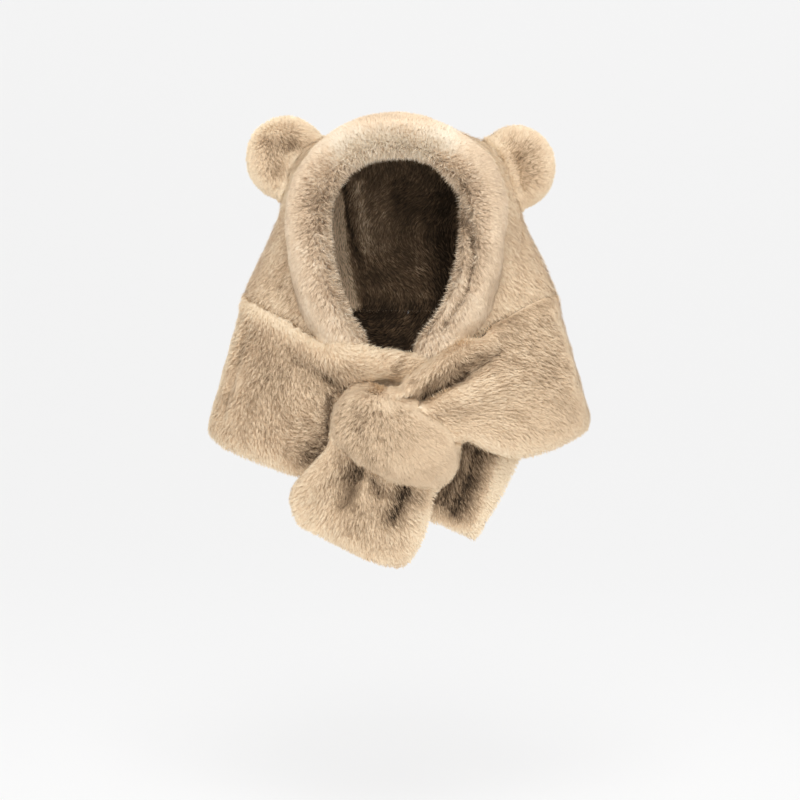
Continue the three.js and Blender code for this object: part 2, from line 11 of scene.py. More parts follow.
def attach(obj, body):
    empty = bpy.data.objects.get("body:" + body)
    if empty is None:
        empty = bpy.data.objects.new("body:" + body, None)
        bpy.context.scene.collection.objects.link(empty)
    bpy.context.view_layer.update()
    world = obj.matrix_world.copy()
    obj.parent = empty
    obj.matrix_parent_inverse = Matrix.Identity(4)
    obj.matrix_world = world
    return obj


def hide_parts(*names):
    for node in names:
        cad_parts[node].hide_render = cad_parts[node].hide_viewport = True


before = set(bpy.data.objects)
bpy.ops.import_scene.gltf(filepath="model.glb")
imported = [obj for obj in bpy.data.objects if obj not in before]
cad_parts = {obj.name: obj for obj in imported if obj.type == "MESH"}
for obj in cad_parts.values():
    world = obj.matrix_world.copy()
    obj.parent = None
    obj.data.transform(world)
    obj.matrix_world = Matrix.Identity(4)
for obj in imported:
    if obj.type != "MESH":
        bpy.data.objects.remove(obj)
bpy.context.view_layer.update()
scene = bpy.context.scene

MM = 0.001

# Colours of the pile by its tone: the darkest stops give painted shade in creases, under overlaps and
# inside the scarf, the lightest painted light on rims and lit tops, the middle the locks' own tones;
# the tone, then linear light
CAMEL = (
    (0.0, (0.020, 0.014, 0.009)),
    (0.06, (0.085, 0.056, 0.034)),
    (0.16, (0.23, 0.155, 0.094)),
    (0.42, (0.60, 0.445, 0.295)),
    (0.68, (0.86, 0.685, 0.485)),
    (1.0, (0.97, 0.84, 0.64)),
)
CREAM = (
    (0.0, (0.07, 0.046, 0.027)),
    (0.16, (0.33, 0.23, 0.148)),
    (0.42, (0.665, 0.508, 0.355)),
    (0.68, (0.89, 0.728, 0.54)),
    (1.0, (0.96, 0.875, 0.73)),
)
# The lining's brown: partly its own darker cloth, partly painted shade of the hood's inside
BROWN = (
    (0.0, (0.026, 0.017, 0.010)),
    (0.35, (0.125, 0.084, 0.050)),
    (0.65, (0.28, 0.195, 0.122)),
    (1.0, (0.80, 0.63, 0.45)),
)
WHITE = (1.0, 1.0, 1.0, 1.0)


# Node trees

class Wire:
    """A socket in a tree of nodes, on which sums can be written."""

    def __init__(self, tree, socket):
        self.tree = tree
        self.socket = socket

    def math(self, operation, *values):
        return self.tree.add("ShaderNodeMath", {"operation": operation}, dict(enumerate(values)))

    def __add__(self, other):
        return self.math("ADD", self, other)

    def __sub__(self, other):
        return self.math("SUBTRACT", self, other)

    def __mul__(self, other):
        return self.math("MULTIPLY", self, other)

    def __truediv__(self, other):
        return self.math("DIVIDE", self, other)

    def __rsub__(self, other):
        return self.math("SUBTRACT", other, self)

    def __rtruediv__(self, other):
        return self.math("DIVIDE", other, self)

    __radd__ = __add__
    __rmul__ = __mul__

    def kept(self, low, high):
        return self.math("MINIMUM", self.math("MAXIMUM", self, low), high)


class Tree:
    """A tree of nodes to which nodes are added with their settings first and their sockets after."""

    def __init__(self, nodes):
        self.nodes = nodes

    def add(self, kind, settings=None, sockets=None, out=0):
        node = self.nodes.nodes.new(kind)
        for name, value in (settings or {}).items():
            if name == "stops":
                self.set_stops(node.color_ramp, value)
            else:
                setattr(node, name, value)
        for name, value in (sockets or {}).items():
            if isinstance(value, Wire):
                self.nodes.links.new(value.socket, node.inputs[name])
            else:
                node.inputs[name].default_value = value
        return Wire(self, node.outputs[out])

    @staticmethod
    def set_stops(ramp, stops):
        while len(ramp.elements) < len(stops):
            ramp.elements.new(1.0)
        for element, (place, colour) in zip(ramp.elements, stops):
            element.position = place
            element.color = (*colour, 1.0)

    def vector(self, operation, *values):
        return self.add("ShaderNodeVectorMath", {"operation": operation}, dict(enumerate(values)))

    def scaled(self, vector, amount):
        return self.add("ShaderNodeVectorMath", {"operation": "SCALE"}, {0: vector, "Scale": amount})

    def random(self, spread, seed):
        """A number for each hair, between the two of the spread."""
        low, high = spread
        sockets = {2: low, 3: high, "Seed": seed}
        return self.add("FunctionNodeRandomValue", {"data_type": "FLOAT"}, sockets, 1)

    def noise(self, spot, scale, detail, out="Fac"):
        sockets = {"Vector": spot, "Scale": scale, "Detail": detail}
        return self.add("ShaderNodeTexNoise", None, sockets, out)

    def second(self, wire):
        """The second socket of the node that a wire leaves."""
        return Wire(self, wire.socket.node.outputs[1])

    def tinted(self, colour, amount):
        """A colour times a number."""
        settings = {"data_type": "RGBA", "blend_type": "MULTIPLY"}
        return self.add("ShaderNodeMix", settings, {0: 1.0, 6: colour, 7: amount}, 2)


# Numbers that the pile takes from the row of its piece: the input, the key in the row and the unit
ROW_INPUTS = (
    ("Length", "length", MM), ("Width", "width", MM), ("Lock size", "lock", MM),
    ("Lock pull", "pull", 1.0), ("Wave", "wave", 1.0), ("Curl", "curl", 1.0),
    ("Wildness", "wild", 1.0), ("Contrast", "contrast", 1.0),
)
# Numbers that are the same for all the pieces
SAME_INPUTS = {"Bend": 0.14, "Softness": 0.75}

# Noises that turn the hair: their scales in lock sizes, and their detail
WAVE_SCALE, CURL_SCALE, TURN_DETAIL = 0.16, 0.50, 1.5
# Noises in the tone of the hair: scale, detail and amount
BLOTCHES = ((70.0, 2.0, 0.55), (18.0, 1.0, 0.35))
# What is left of the wildness and of the spread of tones where the hair lies calm
CALM_WILDNESS, CALM_SPREAD = 0.4, 0.3
# Distance from a lock's middle, in lock sizes, where a hair is neither lighter nor darker: further
# out hairs get painted shade of the partings, nearer the middle they are lighter
LOCK_EDGE = 0.42
TONE_SPREAD, TONE_LOW, TONE_HIGH = (-0.19, 0.19), 0.02, 0.98
LENGTH_SPREAD, WIDTH_SPREAD, BEND_SPREAD = (0.72, 1.12), (0.75, 1.25), (0.3, 1.7)
# The blade of one hair: how its length is shared out, and how deep its root is set
TAPER, ROOT_DEPTH = 1.35, 0.05
# What the root's colour loses in red, green and blue beside its darkness, which warms the painted
# shade deep in the pile
ROOT_TINT = (1.0, 0.90, 0.78)


def pile_tree():
    """Grows hairs on a skin: they follow its comb attribute, lean in locks and carry a tone."""
    group = bpy.data.node_groups.new("combed pile", "GeometryNodeTree")
    kinds = {"Skin": "Geometry", "Seed": "Int", "Material": "Material"}
    numbers = ("Density", *SAME_INPUTS, *(row[0] for row in ROW_INPUTS))
    for name in ("Skin", *numbers, "Seed", "Material"):
        kind = "NodeSocket" + kinds.get(name, "Float")
        group.interface.new_socket(name, in_out="INPUT", socket_type=kind)
    group.interface.new_socket("Pile", in_out="OUTPUT", socket_type="NodeSocketGeometry")
    tree = Tree(group)
    inputs = group.nodes.new("NodeGroupInput")

    def given(name):
        return Wire(tree, inputs.outputs[name])

    def of_skin(name, kind="FLOAT"):
        return tree.add("GeometryNodeInputNamedAttribute", {"data_type": kind}, {"Name": name})

    spot = tree.add("GeometryNodeInputPosition")
    points = tree.add(
        "GeometryNodeDistributePointsOnFaces",
        {"distribute_method": "RANDOM"},
        {
            "Mesh": given("Skin"),
            "Density": given("Density") * of_skin("cover"),
            "Seed": given("Seed"),
        },
    )

    # Locks: every hair leans to the middle of its cell, so tips meet and partings show between them
    cells = {"Vector": spot, "Scale": 1.0 / given("Lock size"), "Randomness": 1.0}
    middle = tree.add("ShaderNodeTexVoronoi", {"feature": "F1"}, cells, "Position")
    away = tree.add("ShaderNodeTexVoronoi", {"feature": "F1"}, cells, "Distance")
    loose = of_skin("loose")
    pull = given("Lock pull") * loose / given("Length")
    to_middle = tree.scaled(tree.vector("SUBTRACT", middle, spot), pull)
    turns = []
    for scale, amount in ((WAVE_SCALE, given("Wave")), (CURL_SCALE, given("Curl") * loose)):
        drift = tree.noise(spot, scale / given("Lock size"), TURN_DETAIL, "Color")
        turns.append(tree.scaled(tree.vector("SUBTRACT", drift, (0.5, 0.5, 0.5)), amount))
    stray = tree.add(
        "FunctionNodeRandomValue",
        {"data_type": "FLOAT_VECTOR"},
        {0: (-1.0, -1.0, -1.0), 1: (1.0, 1.0, 1.0), "Seed": given("Seed") + 3},
    )
    leaning = tree.vector("ADD", of_skin("comb", "FLOAT_VECTOR"), to_middle)
    for turn in turns:
        leaning = tree.vector("ADD", leaning, turn)
    wildness = given("Wildness") * (loose * (1.0 - CALM_WILDNESS) + CALM_WILDNESS)
    leaning = tree.vector("ADD", leaning, tree.scaled(stray, wildness))
    turned = tree.add(
        "FunctionNodeAxesToRotation",
        {"primary_axis": "Z", "secondary_axis": "Y"},
        {
            "Primary Axis": tree.vector("NORMALIZE", leaning),
            "Secondary Axis": of_skin("lie", "FLOAT_VECTOR"),
        },
    )

    # Tone of each hair, kept on its point until the hair is real
    fine, broad = (
        (tree.noise(spot, scale, detail) - 0.5) * amount for scale, detail, amount in BLOTCHES
    )
    calm = loose * (1.0 - CALM_SPREAD) + CALM_SPREAD
    tone = of_skin("shade") + (fine + broad) * calm
    # Painted shade in the partings: hairs far from their lock's middle are darker
    tone = tone + (LOCK_EDGE - away) * given("Contrast") * loose
    tone = tone + tree.random(TONE_SPREAD, given("Seed") + 5) * calm
    points = tree.add(
        "GeometryNodeStoreNamedAttribute",
        {"data_type": "FLOAT", "domain": "POINT"},
        {"Geometry": points, "Name": "tone", "Value": tone.kept(TONE_LOW, TONE_HIGH)},
    )

    # One hair: a kite of two faces, pointed at its root and its tip, that bows at its widest place
    one_face = {"Size X": 1.0, "Size Y": 1.0, "Vertices X": 2, "Vertices Y": 2}
    kite = tree.add("GeometryNodeMeshGrid", None, one_face)
    side = tree.add("ShaderNodeSeparateXYZ", None, {0: spot})
    other = tree.second(side)
    up = (side + other + 1.0) * 0.5
    across = side - other
    sheet = tree.add(
        "GeometryNodeStoreNamedAttribute",
        {"data_type": "FLOAT2", "domain": "CORNER"},
        {
            "Geometry": tree.add(
                "GeometryNodeTriangulate", {"quad_method": "FIXED_ALTERNATE"}, {"Mesh": kite}
            ),
            "Name": "blade",
            "Value": tree.add("ShaderNodeCombineXYZ", None, {0: across * 0.5 + 0.5, 1: up}),
        },
    )
    widest = tree.vector("ABSOLUTE", tree.add("ShaderNodeCombineXYZ", None, {0: across}))
    bow = tree.add("ShaderNodeSeparateXYZ", None, {0: widest}) * given("Bend")
    rise = up.math("POWER", up, TAPER) - ROOT_DEPTH
    hair = tree.add(
        "GeometryNodeSetPosition",
        None,
        {
            "Geometry": sheet,
            "Position": tree.add("ShaderNodeCombineXYZ", None, {0: across * -0.5, 1: bow, 2: rise}),
        },
    )

    long = given("Length") * of_skin("pile") * tree.random(LENGTH_SPREAD, given("Seed") + 7)
    size = tree.add(
        "ShaderNodeCombineXYZ",
        None,
        {
            0: given("Width") * tree.random(WIDTH_SPREAD, given("Seed") + 9),
            1: long * tree.random(BEND_SPREAD, given("Seed") + 11),
            2: long,
        },
    )
    hairs = tree.add(
        "GeometryNodeInstanceOnPoints",
        None,
        {"Points": points, "Instance": hair, "Rotation": turned, "Scale": size},
    )
    real = tree.add("GeometryNodeRealizeInstances", None, {"Geometry": hairs})

    # The hair's map: its tone across, root to tip along
    place = tree.add("ShaderNodeSeparateXYZ", None, {0: of_skin("blade", "FLOAT_VECTOR")})
    shown_tone = of_skin("tone") + (place - 0.5) * 0.02
    rising = tree.second(place) * 0.96 + 0.02
    mapped = tree.add(
        "GeometryNodeStoreNamedAttribute",
        {"data_type": "FLOAT2", "domain": "CORNER"},
        {
            "Geometry": real,
            "Name": "OFBake",
            "Value": tree.add("ShaderNodeCombineXYZ", None, {0: shown_tone, 1: rising}),
        },
    )

    # Soft shading: the normals turn towards those of the cloth below
    own = tree.scaled(tree.add("GeometryNodeInputNormal"), 1.0 - given("Softness"))
    below = tree.scaled(of_skin("lie", "FLOAT_VECTOR"), given("Softness"))
    mixed = tree.vector("ADD", own, below)
    softened = tree.add(
        "GeometryNodeSetMeshNormal",
        {"mode": "FREE", "domain": "POINT"},
        {"Mesh": mapped, "Custom Normal": tree.vector("NORMALIZE", mixed)},
    )
    finished = tree.add(
        "GeometryNodeSetMaterial", None, {"Geometry": softened, "Material": given("Material")}
    )
    output = group.nodes.new("NodeGroupOutput")
    group.links.new(finished.socket, output.inputs["Pile"])
    return group


SHEEN = 0.12


def new_material(name, roughness, sheen=SHEEN):
    """An empty cloth material, its shader and its tree."""
    material = bpy.data.materials.new(name)
    material.use_nodes = True
    nodes = material.node_tree
    nodes.nodes.clear()
    tree = Tree(nodes)
    shader = nodes.nodes.new("ShaderNodeBsdfPrincipled")
    shader.inputs["Roughness"].default_value = roughness
    shader.inputs["Specular IOR Level"].default_value = 0.12
    shader.inputs["Sheen Weight"].default_value = sheen
    shader.inputs["Sheen Roughness"].default_value = 0.5
    shader.inputs["Sheen Tint"].default_value = (1.0, 0.84, 0.64, 1.0)
    output = nodes.nodes.new("ShaderNodeOutputMaterial")
    nodes.links.new(shader.outputs[0], output.inputs["Surface"])
    return material, shader, tree


def hair_material(name, stops, root, sheen=SHEEN):
    """Pile: the tone picks the colour, and the root is darker than the tip, partly the fur's own
    darker roots and partly painted shade deep in the pile.
    """
    material, shader, tree = new_material(name, 0.72, sheen)
    place = tree.add("ShaderNodeUVMap", {"uv_map": "OFBake"})
    across = tree.add("ShaderNodeSeparateXYZ", None, {0: place})
    colour = tree.add("ShaderNodeValToRGB", {"stops": stops}, {0: across})
    shaded = (
        (0.0, tuple(root * tint for tint in ROOT_TINT)),
        (0.45, (0.93, 0.90, 0.86)),
        (1.0, (1.0, 1.0, 1.0)),
    )
    depth = tree.add("ShaderNodeValToRGB", {"stops": shaded}, {0: tree.second(across)})
    tree.nodes.links.new(tree.tinted(colour, depth).socket, shader.inputs["Base Color"])
    return material


def skin_material(name, stops, darkness):
    """Cloth under the pile: mottled like the locks, with a fine nap in its bump."""
    material, shader, tree = new_material(name, 0.9)
    spot = tree.add("ShaderNodeTexCoord", None, None, "Object")
    mottle = tree.noise(spot, 160.0, 4.0)
    cells = {"Vector": spot, "Scale": 260.0}
    locks = tree.add("ShaderNodeTexVoronoi", {"feature": "F1"}, cells, "Distance")
    named = {"attribute_type": "GEOMETRY", "attribute_name": "undertone"}
    undertone = tree.add("ShaderNodeAttribute", named, None, "Fac")
    tone = (undertone + (mottle - 0.5) * 0.3 + (0.5 - locks) * 0.15).kept(0.0, 1.0)
    colour = tree.add("ShaderNodeValToRGB", {"stops": stops}, {0: tone})
    shade = (darkness, darkness * 0.99, darkness * 0.98, 1.0)
    tree.nodes.links.new(tree.tinted(colour, shade).socket, shader.inputs["Base Color"])
    nap = tree.noise(spot, 900.0, 3.0)
    height = {"Strength": 0.8, "Distance": 0.0012, "Height": nap - locks * 0.8}
    bump = tree.add("ShaderNodeBump", None, height)
    tree.nodes.links.new(bump.socket, shader.inputs["Normal"])
    return material


# Skins

# How far a ray looks through a wall for its thickness, and where inside the wall it starts
WALL_FAR, WALL_START = 0.06, 0.0004
# How far a skin looks for its neighbours and for its own solid
BESIDE, HOME = 12 * MM, 20 * MM
# A skin keeps to its solid where a neighbour is nearer than this, and is free this much further away
SEAM_NEAR, SEAM_FADE = 2.0 * MM, 4.0 * MM
# How deep a skin reaches into a neighbour that it touches, in mm, and how fast that fades
SEAM_REACH, REACH_FADE = 1.6, 3 * MM
# Where the scarf meets the hood: above this height and away from the middle, over this way each
MEET_HEIGHT, MEET_ASIDE, MEET_FADE = 0.230, 0.035, 0.02
MEET_FAR, MEET_SHARE, MEET_DEPTH = 14 * MM, 0.35, 1.5 * MM
# Stuffing: its pressure, the steps it takes, and its mean push as a share of the cap
PRESSURE, STUFFING_STEPS, MEAN_PUSH = 16.0, 20, 0.6
# Cloth that faces the front or the back less than this is an edge as seen from the front
SIDEWAYS = 0.3


def share(values):
    """Values kept between nought and one."""
    return np.clip(values, 0.0, 1.0)


def read(items, name, width):
    values = np.empty(len(items) * width, np.float32)
    items.foreach_get(name, values)
    return values.reshape(-1, width).astype(float)


def places(mesh):
    return read(mesh.vertices, "co", 3)


def normals(mesh):
    return read(mesh.vertex_normals, "vector", 3)


def move(mesh, points):
    mesh.vertices.foreach_set("co", points.astype(np.float32).ravel())
    mesh.update()


def store(mesh, name, values):
    """Keeps a number or a vector for each vertex."""
    kind, field = ("FLOAT_VECTOR", "vector") if values.ndim == 2 else ("FLOAT", "value")
    layer = mesh.attributes.new(name, kind, "POINT")
    layer.data.foreach_set(field, values.astype(np.float32).ravel())


def relaxed(mesh, values, rounds):
    """Values of the vertices evened out along the edges."""
    edges = np.empty(len(mesh.edges) * 2, np.int32)
    mesh.edges.foreach_get("vertices", edges)
    first, second = edges.reshape(-1, 2).T
    count = len(mesh.vertices)
    around = np.bincount(first, minlength=count) + np.bincount(second, minlength=count)
    around = np.maximum(around, 1)
    columns = values.reshape(count, -1).copy()
    for _ in range(rounds):
        for column in range(columns.shape[1]):
            held = columns[:, column]
            total = np.bincount(first, held[second], count) + np.bincount(second, held[first], count)
            columns[:, column] = 0.5 * held + 0.5 * total / around
    return columns.reshape(values.shape)


def unit(vectors):
    return vectors / np.maximum(np.linalg.norm(vectors, axis=1, keepdims=True), 1e-9)


def tree_of(meshes):
    """One search tree over several meshes."""
    points, faces = [], []
    for mesh in meshes:
        start = len(points)
        points.extend(v.co.copy() for v in mesh.vertices)
        faces.extend([start + i for i in face.vertices] for face in mesh.polygons)
    return BVHTree.FromPolygons(points, faces)


def distances(tree, points, directions, start, far):
    """How far each point sees along its direction."""
    found = np.full(len(points), far)
    for index, (point, direction) in enumerate(zip(points, directions)):
        ray = Vector(direction)
        hit = tree.ray_cast(Vector(point) + ray * start, ray, far)
        if hit[0] is not None:
            found[index] = hit[3] + start
    return found


def new_object(name, mesh):
    piece = bpy.data.objects.new(name, mesh)
    scene.collection.objects.link(piece)
    return piece


def finished_mesh(piece, name):
    """The piece's evaluated mesh as a plain one, with no modifiers left on the piece."""
    bpy.context.view_layer.update()
    mesh = bpy.data.meshes.new_from_object(piece.evaluated_get(bpy.context.evaluated_depsgraph_get()))
    mesh.name = name
    piece.modifiers.clear()
    return mesh


def closed_copy(node, name):
    """A copy of a solid of the frame, with its loose corners joined."""
    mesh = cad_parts[node].data.copy()
    for layer in list(mesh.attributes):
        if layer.name.startswith("custom") or layer.name in {"UVMap", "Col"}:
            mesh.attributes.remove(layer)
    shape = bmesh.new()
    shape.from_mesh(mesh)
    bmesh.ops.remove_doubles(shape, verts=shape.verts, dist=1e-6)
    shape.to_mesh(mesh)
    shape.free()
    mesh.materials.clear()
    return new_object(name, mesh)


def even_skin(node, name, grain, smoothing):
    """The solid remade with even faces, its edges softened."""
    piece = closed_copy(node, name)
    remesh = piece.modifiers.new("even faces", "REMESH")
    remesh.mode = "VOXEL"
    remesh.voxel_size = grain
    smooth = piece.modifiers.new("soft edges", "SMOOTH")
    smooth.factor = 0.5
    smooth.iterations = smoothing
    mesh = finished_mesh(piece, name)
    piece.data = mesh
    mesh.shade_smooth()
    return piece


def surface(mesh):
    """Places of the vertices, and the ways they face, evened out."""
    return places(mesh), unit(relaxed(mesh, normals(mesh), 2))


def drop(mesh, names):
    for layer in list(mesh.attributes):
        if layer.name in names:
            mesh.attributes.remove(layer)


def nearest(tree, points, far):
    """The way from each point to the nearest spot of the tree, and its length, or far."""
    ways, lengths = np.zeros((len(points), 3)), np.full(len(points), far)
    for index, point in enumerate(points):
        spot, _, _, gap = tree.find_nearest(Vector(point), far)
        if spot is not None:
            ways[index] = np.array(spot) - point
            lengths[index] = gap
    return ways, lengths


def sink(piece, depth, most, own, others):
    """Moves the skin in by the depth of its pile, less where the piece is thin.

    Beside a neighbour the skin stays on its solid and reaches into the neighbour.
    """
    mesh = piece.data
    points, facing = places(mesh), normals(mesh)
    thickness = distances(tree_of([mesh]), points, -facing, WALL_START, WALL_FAR)
    over, gap = nearest(others, points, BESIDE)
    home, _ = nearest(own, points, HOME)
    shut = relaxed(mesh, 1.0 - share((gap - SEAM_NEAR) / SEAM_FADE), 2)
    inset = relaxed(mesh, np.minimum(depth, most * thickness), 4) * (1.0 - shut)
    reach = unit(over) * (np.clip(SEAM_REACH - gap / REACH_FADE, 0.0, SEAM_REACH) * MM)[:, None]
    move(mesh, points + home * shut[:, None] + reach - relaxed(mesh, facing, 2) * inset[:, None])
    return thickness


def meet(piece, others, far):
    """Draws the upper edge of a scarf half to the hood, so that no slit is left along the seam."""
    mesh = piece.data
    points = places(mesh)
    over, gap = nearest(others, points, far)
    above = share((points[:, 2] + MEET_HEIGHT) / MEET_FADE)
    beside = above * share((np.abs(points[:, 0]) - MEET_ASIDE) / MEET_FADE)
    pulled = share((far - gap) / (MEET_SHARE * far)) * beside
    move(mesh, points + relaxed(mesh, (over + unit(over) * MEET_DEPTH) * pulled[:, None], 1))


def puff(piece, pressure, cap):
    """Stuffs the piece: a short cloth simulation blows it up, no point further than the cap."""
    mesh = piece.data
    start = places(mesh)
    cloth = piece.modifiers.new("stuffing", "CLOTH")
    settings = cloth.settings
    settings.quality = 5
    settings.mass = 0.25
    settings.use_pressure = True
    settings.uniform_pressure_force = pressure
    settings.tension_stiffness = settings.compression_stiffness = 12.0
    settings.shear_stiffness = 6.0
    settings.bending_stiffness = 0.8
    settings.effector_weights.gravity = 0.0
    cloth.collision_settings.use_collision = False
    cloth.point_cache.frame_start = 1
    cloth.point_cache.frame_end = STUFFING_STEPS
    for step in range(STUFFING_STEPS):
        scene.frame_set(step + 1)
    blown = finished_mesh(piece, mesh.name)
    facing = normals(mesh)
    shift = places(blown) - start
    shift += facing * (MEAN_PUSH * cap - (shift * facing).sum(1).mean())
    scene.frame_set(1)
    bpy.data.meshes.remove(blown)
    reach = np.linalg.norm(shift, axis=1, keepdims=True)
    shift *= np.minimum(1.0, cap / np.maximum(reach, 1e-9))
    move(mesh, start + relaxed(mesh, shift, 3))


# The pile's comb

def flow_of(points, strokes, reach):
    """Direction of the comb at each point, from strokes given as x, z in mm and the way they go."""
    table = np.array(strokes, float)
    spots = points[:, [0, 2]] / MM
    apart = ((spots[:, None, :] - table[None, :, :2]) ** 2).sum(2)
    weight = np.exp(-apart / reach ** 2) + 1e-4 / (1.0 + apart / reach ** 2)
    ways = table[:, 2:4] / np.linalg.norm(table[:, 2:4], axis=1, keepdims=True)
    flat = (weight[:, :, None] * ways[None]).sum(1) / weight.sum(1)[:, None]
    return np.stack([flat[:, 0], np.zeros(len(flat)), flat[:, 1]], 1)


def patches_of(points, patches):
    """Sum of soft round patches given as x, z, radius and amount, in mm."""
    total = np.zeros(len(points))
    for x, z, radius, amount in patches:
        apart = (points[:, 0] / MM - x) ** 2 + (points[:, 2] / MM - z) ** 2
        total += amount * np.exp(-apart / radius ** 2)
    return total


def laid(facing, flow, lean):
    """Directions of the hair: out of the cloth, leaning along the flow."""
    along = flow - facing * (flow * facing).sum(1, keepdims=True)
    return facing * (1.0 - lean) + along * lean


def hem_share(points, facing, thickness, thin, reach):
    """How near each vertex lies to an edge of the piece as seen from the front: one on the edge."""
    edge = np.nonzero((thickness < thin) | (np.abs(facing[:, 1]) < SIDEWAYS))[0]
    if not len(edge):
        return np.zeros(len(points))
    found = KDTree(len(edge))
    for place, index in enumerate(edge):
        found.insert(Vector(points[index]), place)
    found.balance()
    apart = np.array([found.find(Vector(point))[2] for point in points])
    return np.exp(-((apart / reach) ** 2))


def along_lines(points, lines):
    """The strongest amount beside each point, from lines given as x, z to x, z, width and amount."""
    total = np.zeros(len(points))
    x, z = points[:, 0] / MM, points[:, 2] / MM
    for x0, z0, x1, z1, width, amount in lines:
        length = (x1 - x0) ** 2 + (z1 - z0) ** 2
        along = share(((x - x0) * (x1 - x0) + (z - z0) * (z1 - z0)) / length)
        apart = (x - x0 - along * (x1 - x0)) ** 2 + (z - z0 - along * (z1 - z0)) ** 2
        value = amount * np.exp(-apart / width ** 2)
        total = np.where(np.abs(value) > np.abs(total), value, total)
    return total


pile = pile_tree()
pile_sockets = {
    item.name: item.identifier for item in pile.interface.items_tree if item.in_out == "INPUT"
}

# What the pile reads from its skin, and what else is left on a finished hair
PILE_LAYERS = {"comb", "lie", "cover", "pile", "shade", "loose"}
HAIR_LAYERS = {"undertone", "tone", "blade"}


def grow(skin, name, row, material):
    """Grows the hairs of a row on a skin, as a plain mesh in a piece of its own."""
    mesh = skin.data
    corners = places(mesh)
    mesh.calc_loop_triangles()
    triangles = np.array([t.vertices[:] for t in mesh.loop_triangles])
    cover = read(mesh.attributes["cover"].data, "value", 1)[:, 0]
    a, b, c = (corners[triangles[:, i]] for i in range(3))
    area = np.linalg.norm(np.cross(b - a, c - a), axis=1) / 2
    covered = float((area * cover[triangles].mean(1)).sum())
    piece = new_object(name, mesh.copy())
    growing = piece.modifiers.new("pile", "NODES")
    growing.node_group = pile
    values = {socket: row[key] * unit for socket, key, unit in ROW_INPUTS}
    values.update(SAME_INPUTS, Density=row["hairs"] / covered, Seed=row["seed"], Material=material)
    for socket, value in values.items():
        growing[pile_sockets[socket]] = value
    grown = finished_mesh(piece, name)
    piece.data = grown
    drop(grown, PILE_LAYERS | HAIR_LAYERS)
    return piece


# Strokes of the comb as seen from the front: x and z in mm, then the way the hair goes in x and z
LEFT_COMB = (
    (-127, -190, 0.2, -1), (-141, -218, -0.3, -1), (-155, -249, 0.3, -1), (-175, -267, -0.7, -0.6),
    (-165, -227, -0.9, -0.3), (-151, -183, -0.8, -0.5), (-113, -221, 0, -1), (-85, -211, 0, -1),
    (-64, -215, 0.1, -1), (-43, -211, 0.7, -0.5), (-22, -204, 1, 0.3), (-1, -210, 1, 0.4),
    (-22, -197, 0.3, 1), (-57, -239, 0.5, -0.7), (-99, -260, 0.3, -0.8), (-134, -281, 0.3, -0.5),
    (-85, -288, 0.7, 0.4), (-71, -309, 0.6, -0.5), (-141, -302, 0.1, -1), (-113, -316, 0.2, -1),
    (-166, -288, -0.5, -0.9), (-105, -187, 0.3, -0.8), (-82, -196, 0.4, -0.6),
    (58, -329, 0.1, -1), (66, -353, 0.2, -1), (77, -373, 0.4, -1), (84, -345, 0.8, -0.5),
    (52, -364, -0.1, -1),
)
RIGHT_COMB = (
    (38, -218, -0.4, -0.8), (62, -205, -0.2, -0.9), (9, -229, -0.6, -0.6), (38, -237, -0.3, -0.8),
    (31, -262, 1, -0.1), (69, -262, 1, 0.1), (101, -257, 1, 0), (85, -234, 0.8, 0.4),
    (79, -213, 0.6, 0.5), (117, -218, 1, -0.15), (149, -234, 1, -0.25), (165, -257, 1, -0.3),
    (133, -281, 1, -0.45), (85, -281, 1, -0.4), (69, -289, 0.6, -0.7), (181, -242, 0.9, -0.3),
    (149, -294, 0.7, -0.8), (133, -195, 0.9, -0.35), (101, -195, 0.6, -0.6), (185, -275, 0.9, -0.5),
    (109, -303, 0.5, -1),
    (-74, -335, -0.8, -0.5), (-82, -350, -0.9, -0.4), (-58, -342, -0.2, -0.9), (-46, -342, 0.2, -1),
    (-35, -358, -0.2, -1), (-11, -350, 0.3, -1), (0, -342, 0.3, -1), (12, -350, 0.5, -0.9),
    (-3, -382, 0.2, -1), (-27, -390, -0.2, -1), (12, -390, 0.7, -0.8), (-50, -374, -0.6, -0.9),
    (33, -358, 1, -0.3),
)
LOOP_COMB = (
    (-22, -242, -0.5, -0.3), (-42, -259, -0.6, -0.6), (-31, -273, -0.5, -0.8),
    (-50, -285, -0.8, -0.6),
    (-19, -303, -0.2, -1), (-29, -315, -0.2, -1), (0, -273, 0.3, -0.9), (13, -282, 0.8, -0.6),
    (29, -295, 0.8, -0.7), (44, -311, 0.9, -0.6), (13, -318, 0.3, -1), (52, -292, 1, -0.3),
    (-3, -250, 0.2, -0.6), (25, -336, 0.2, -1), (-9, -285, -0.1, -1), (14, -262, 0.7, -0.5),
)
LEFT_EAR_COMB = (
    (-141, 2, -0.7, 0.7), (-109, 21, 0, 1), (-81, 11, 0.7, 0.6), (-147, -36, -1, -0.2),
    (-132, -55, -0.5, -0.9), (-115, -2, 0.6, -0.8), (-94, -8, 0.8, -0.6), (-126, -19, 0.3, -0.8),
    (-109, -34, 0.4, -0.9), (-88, -21, 0.9, -0.3), (-136, -13, -0.3, -0.6),
)
RIGHT_EAR_COMB = (
    (97, -4, 0.3, 0.9), (118, 9, 0.2, 1), (143, -4, 0.8, 0.5), (124, -23, 0.8, 0.5),
    (139, -36, 1, 0.1), (118, -51, 0.7, -0.5), (149, -46, 0.9, -0.3), (135, -61, 0.5, -0.8),
    (116, -65, 0, -1), (109, -29, 0.4, 0.2),
)

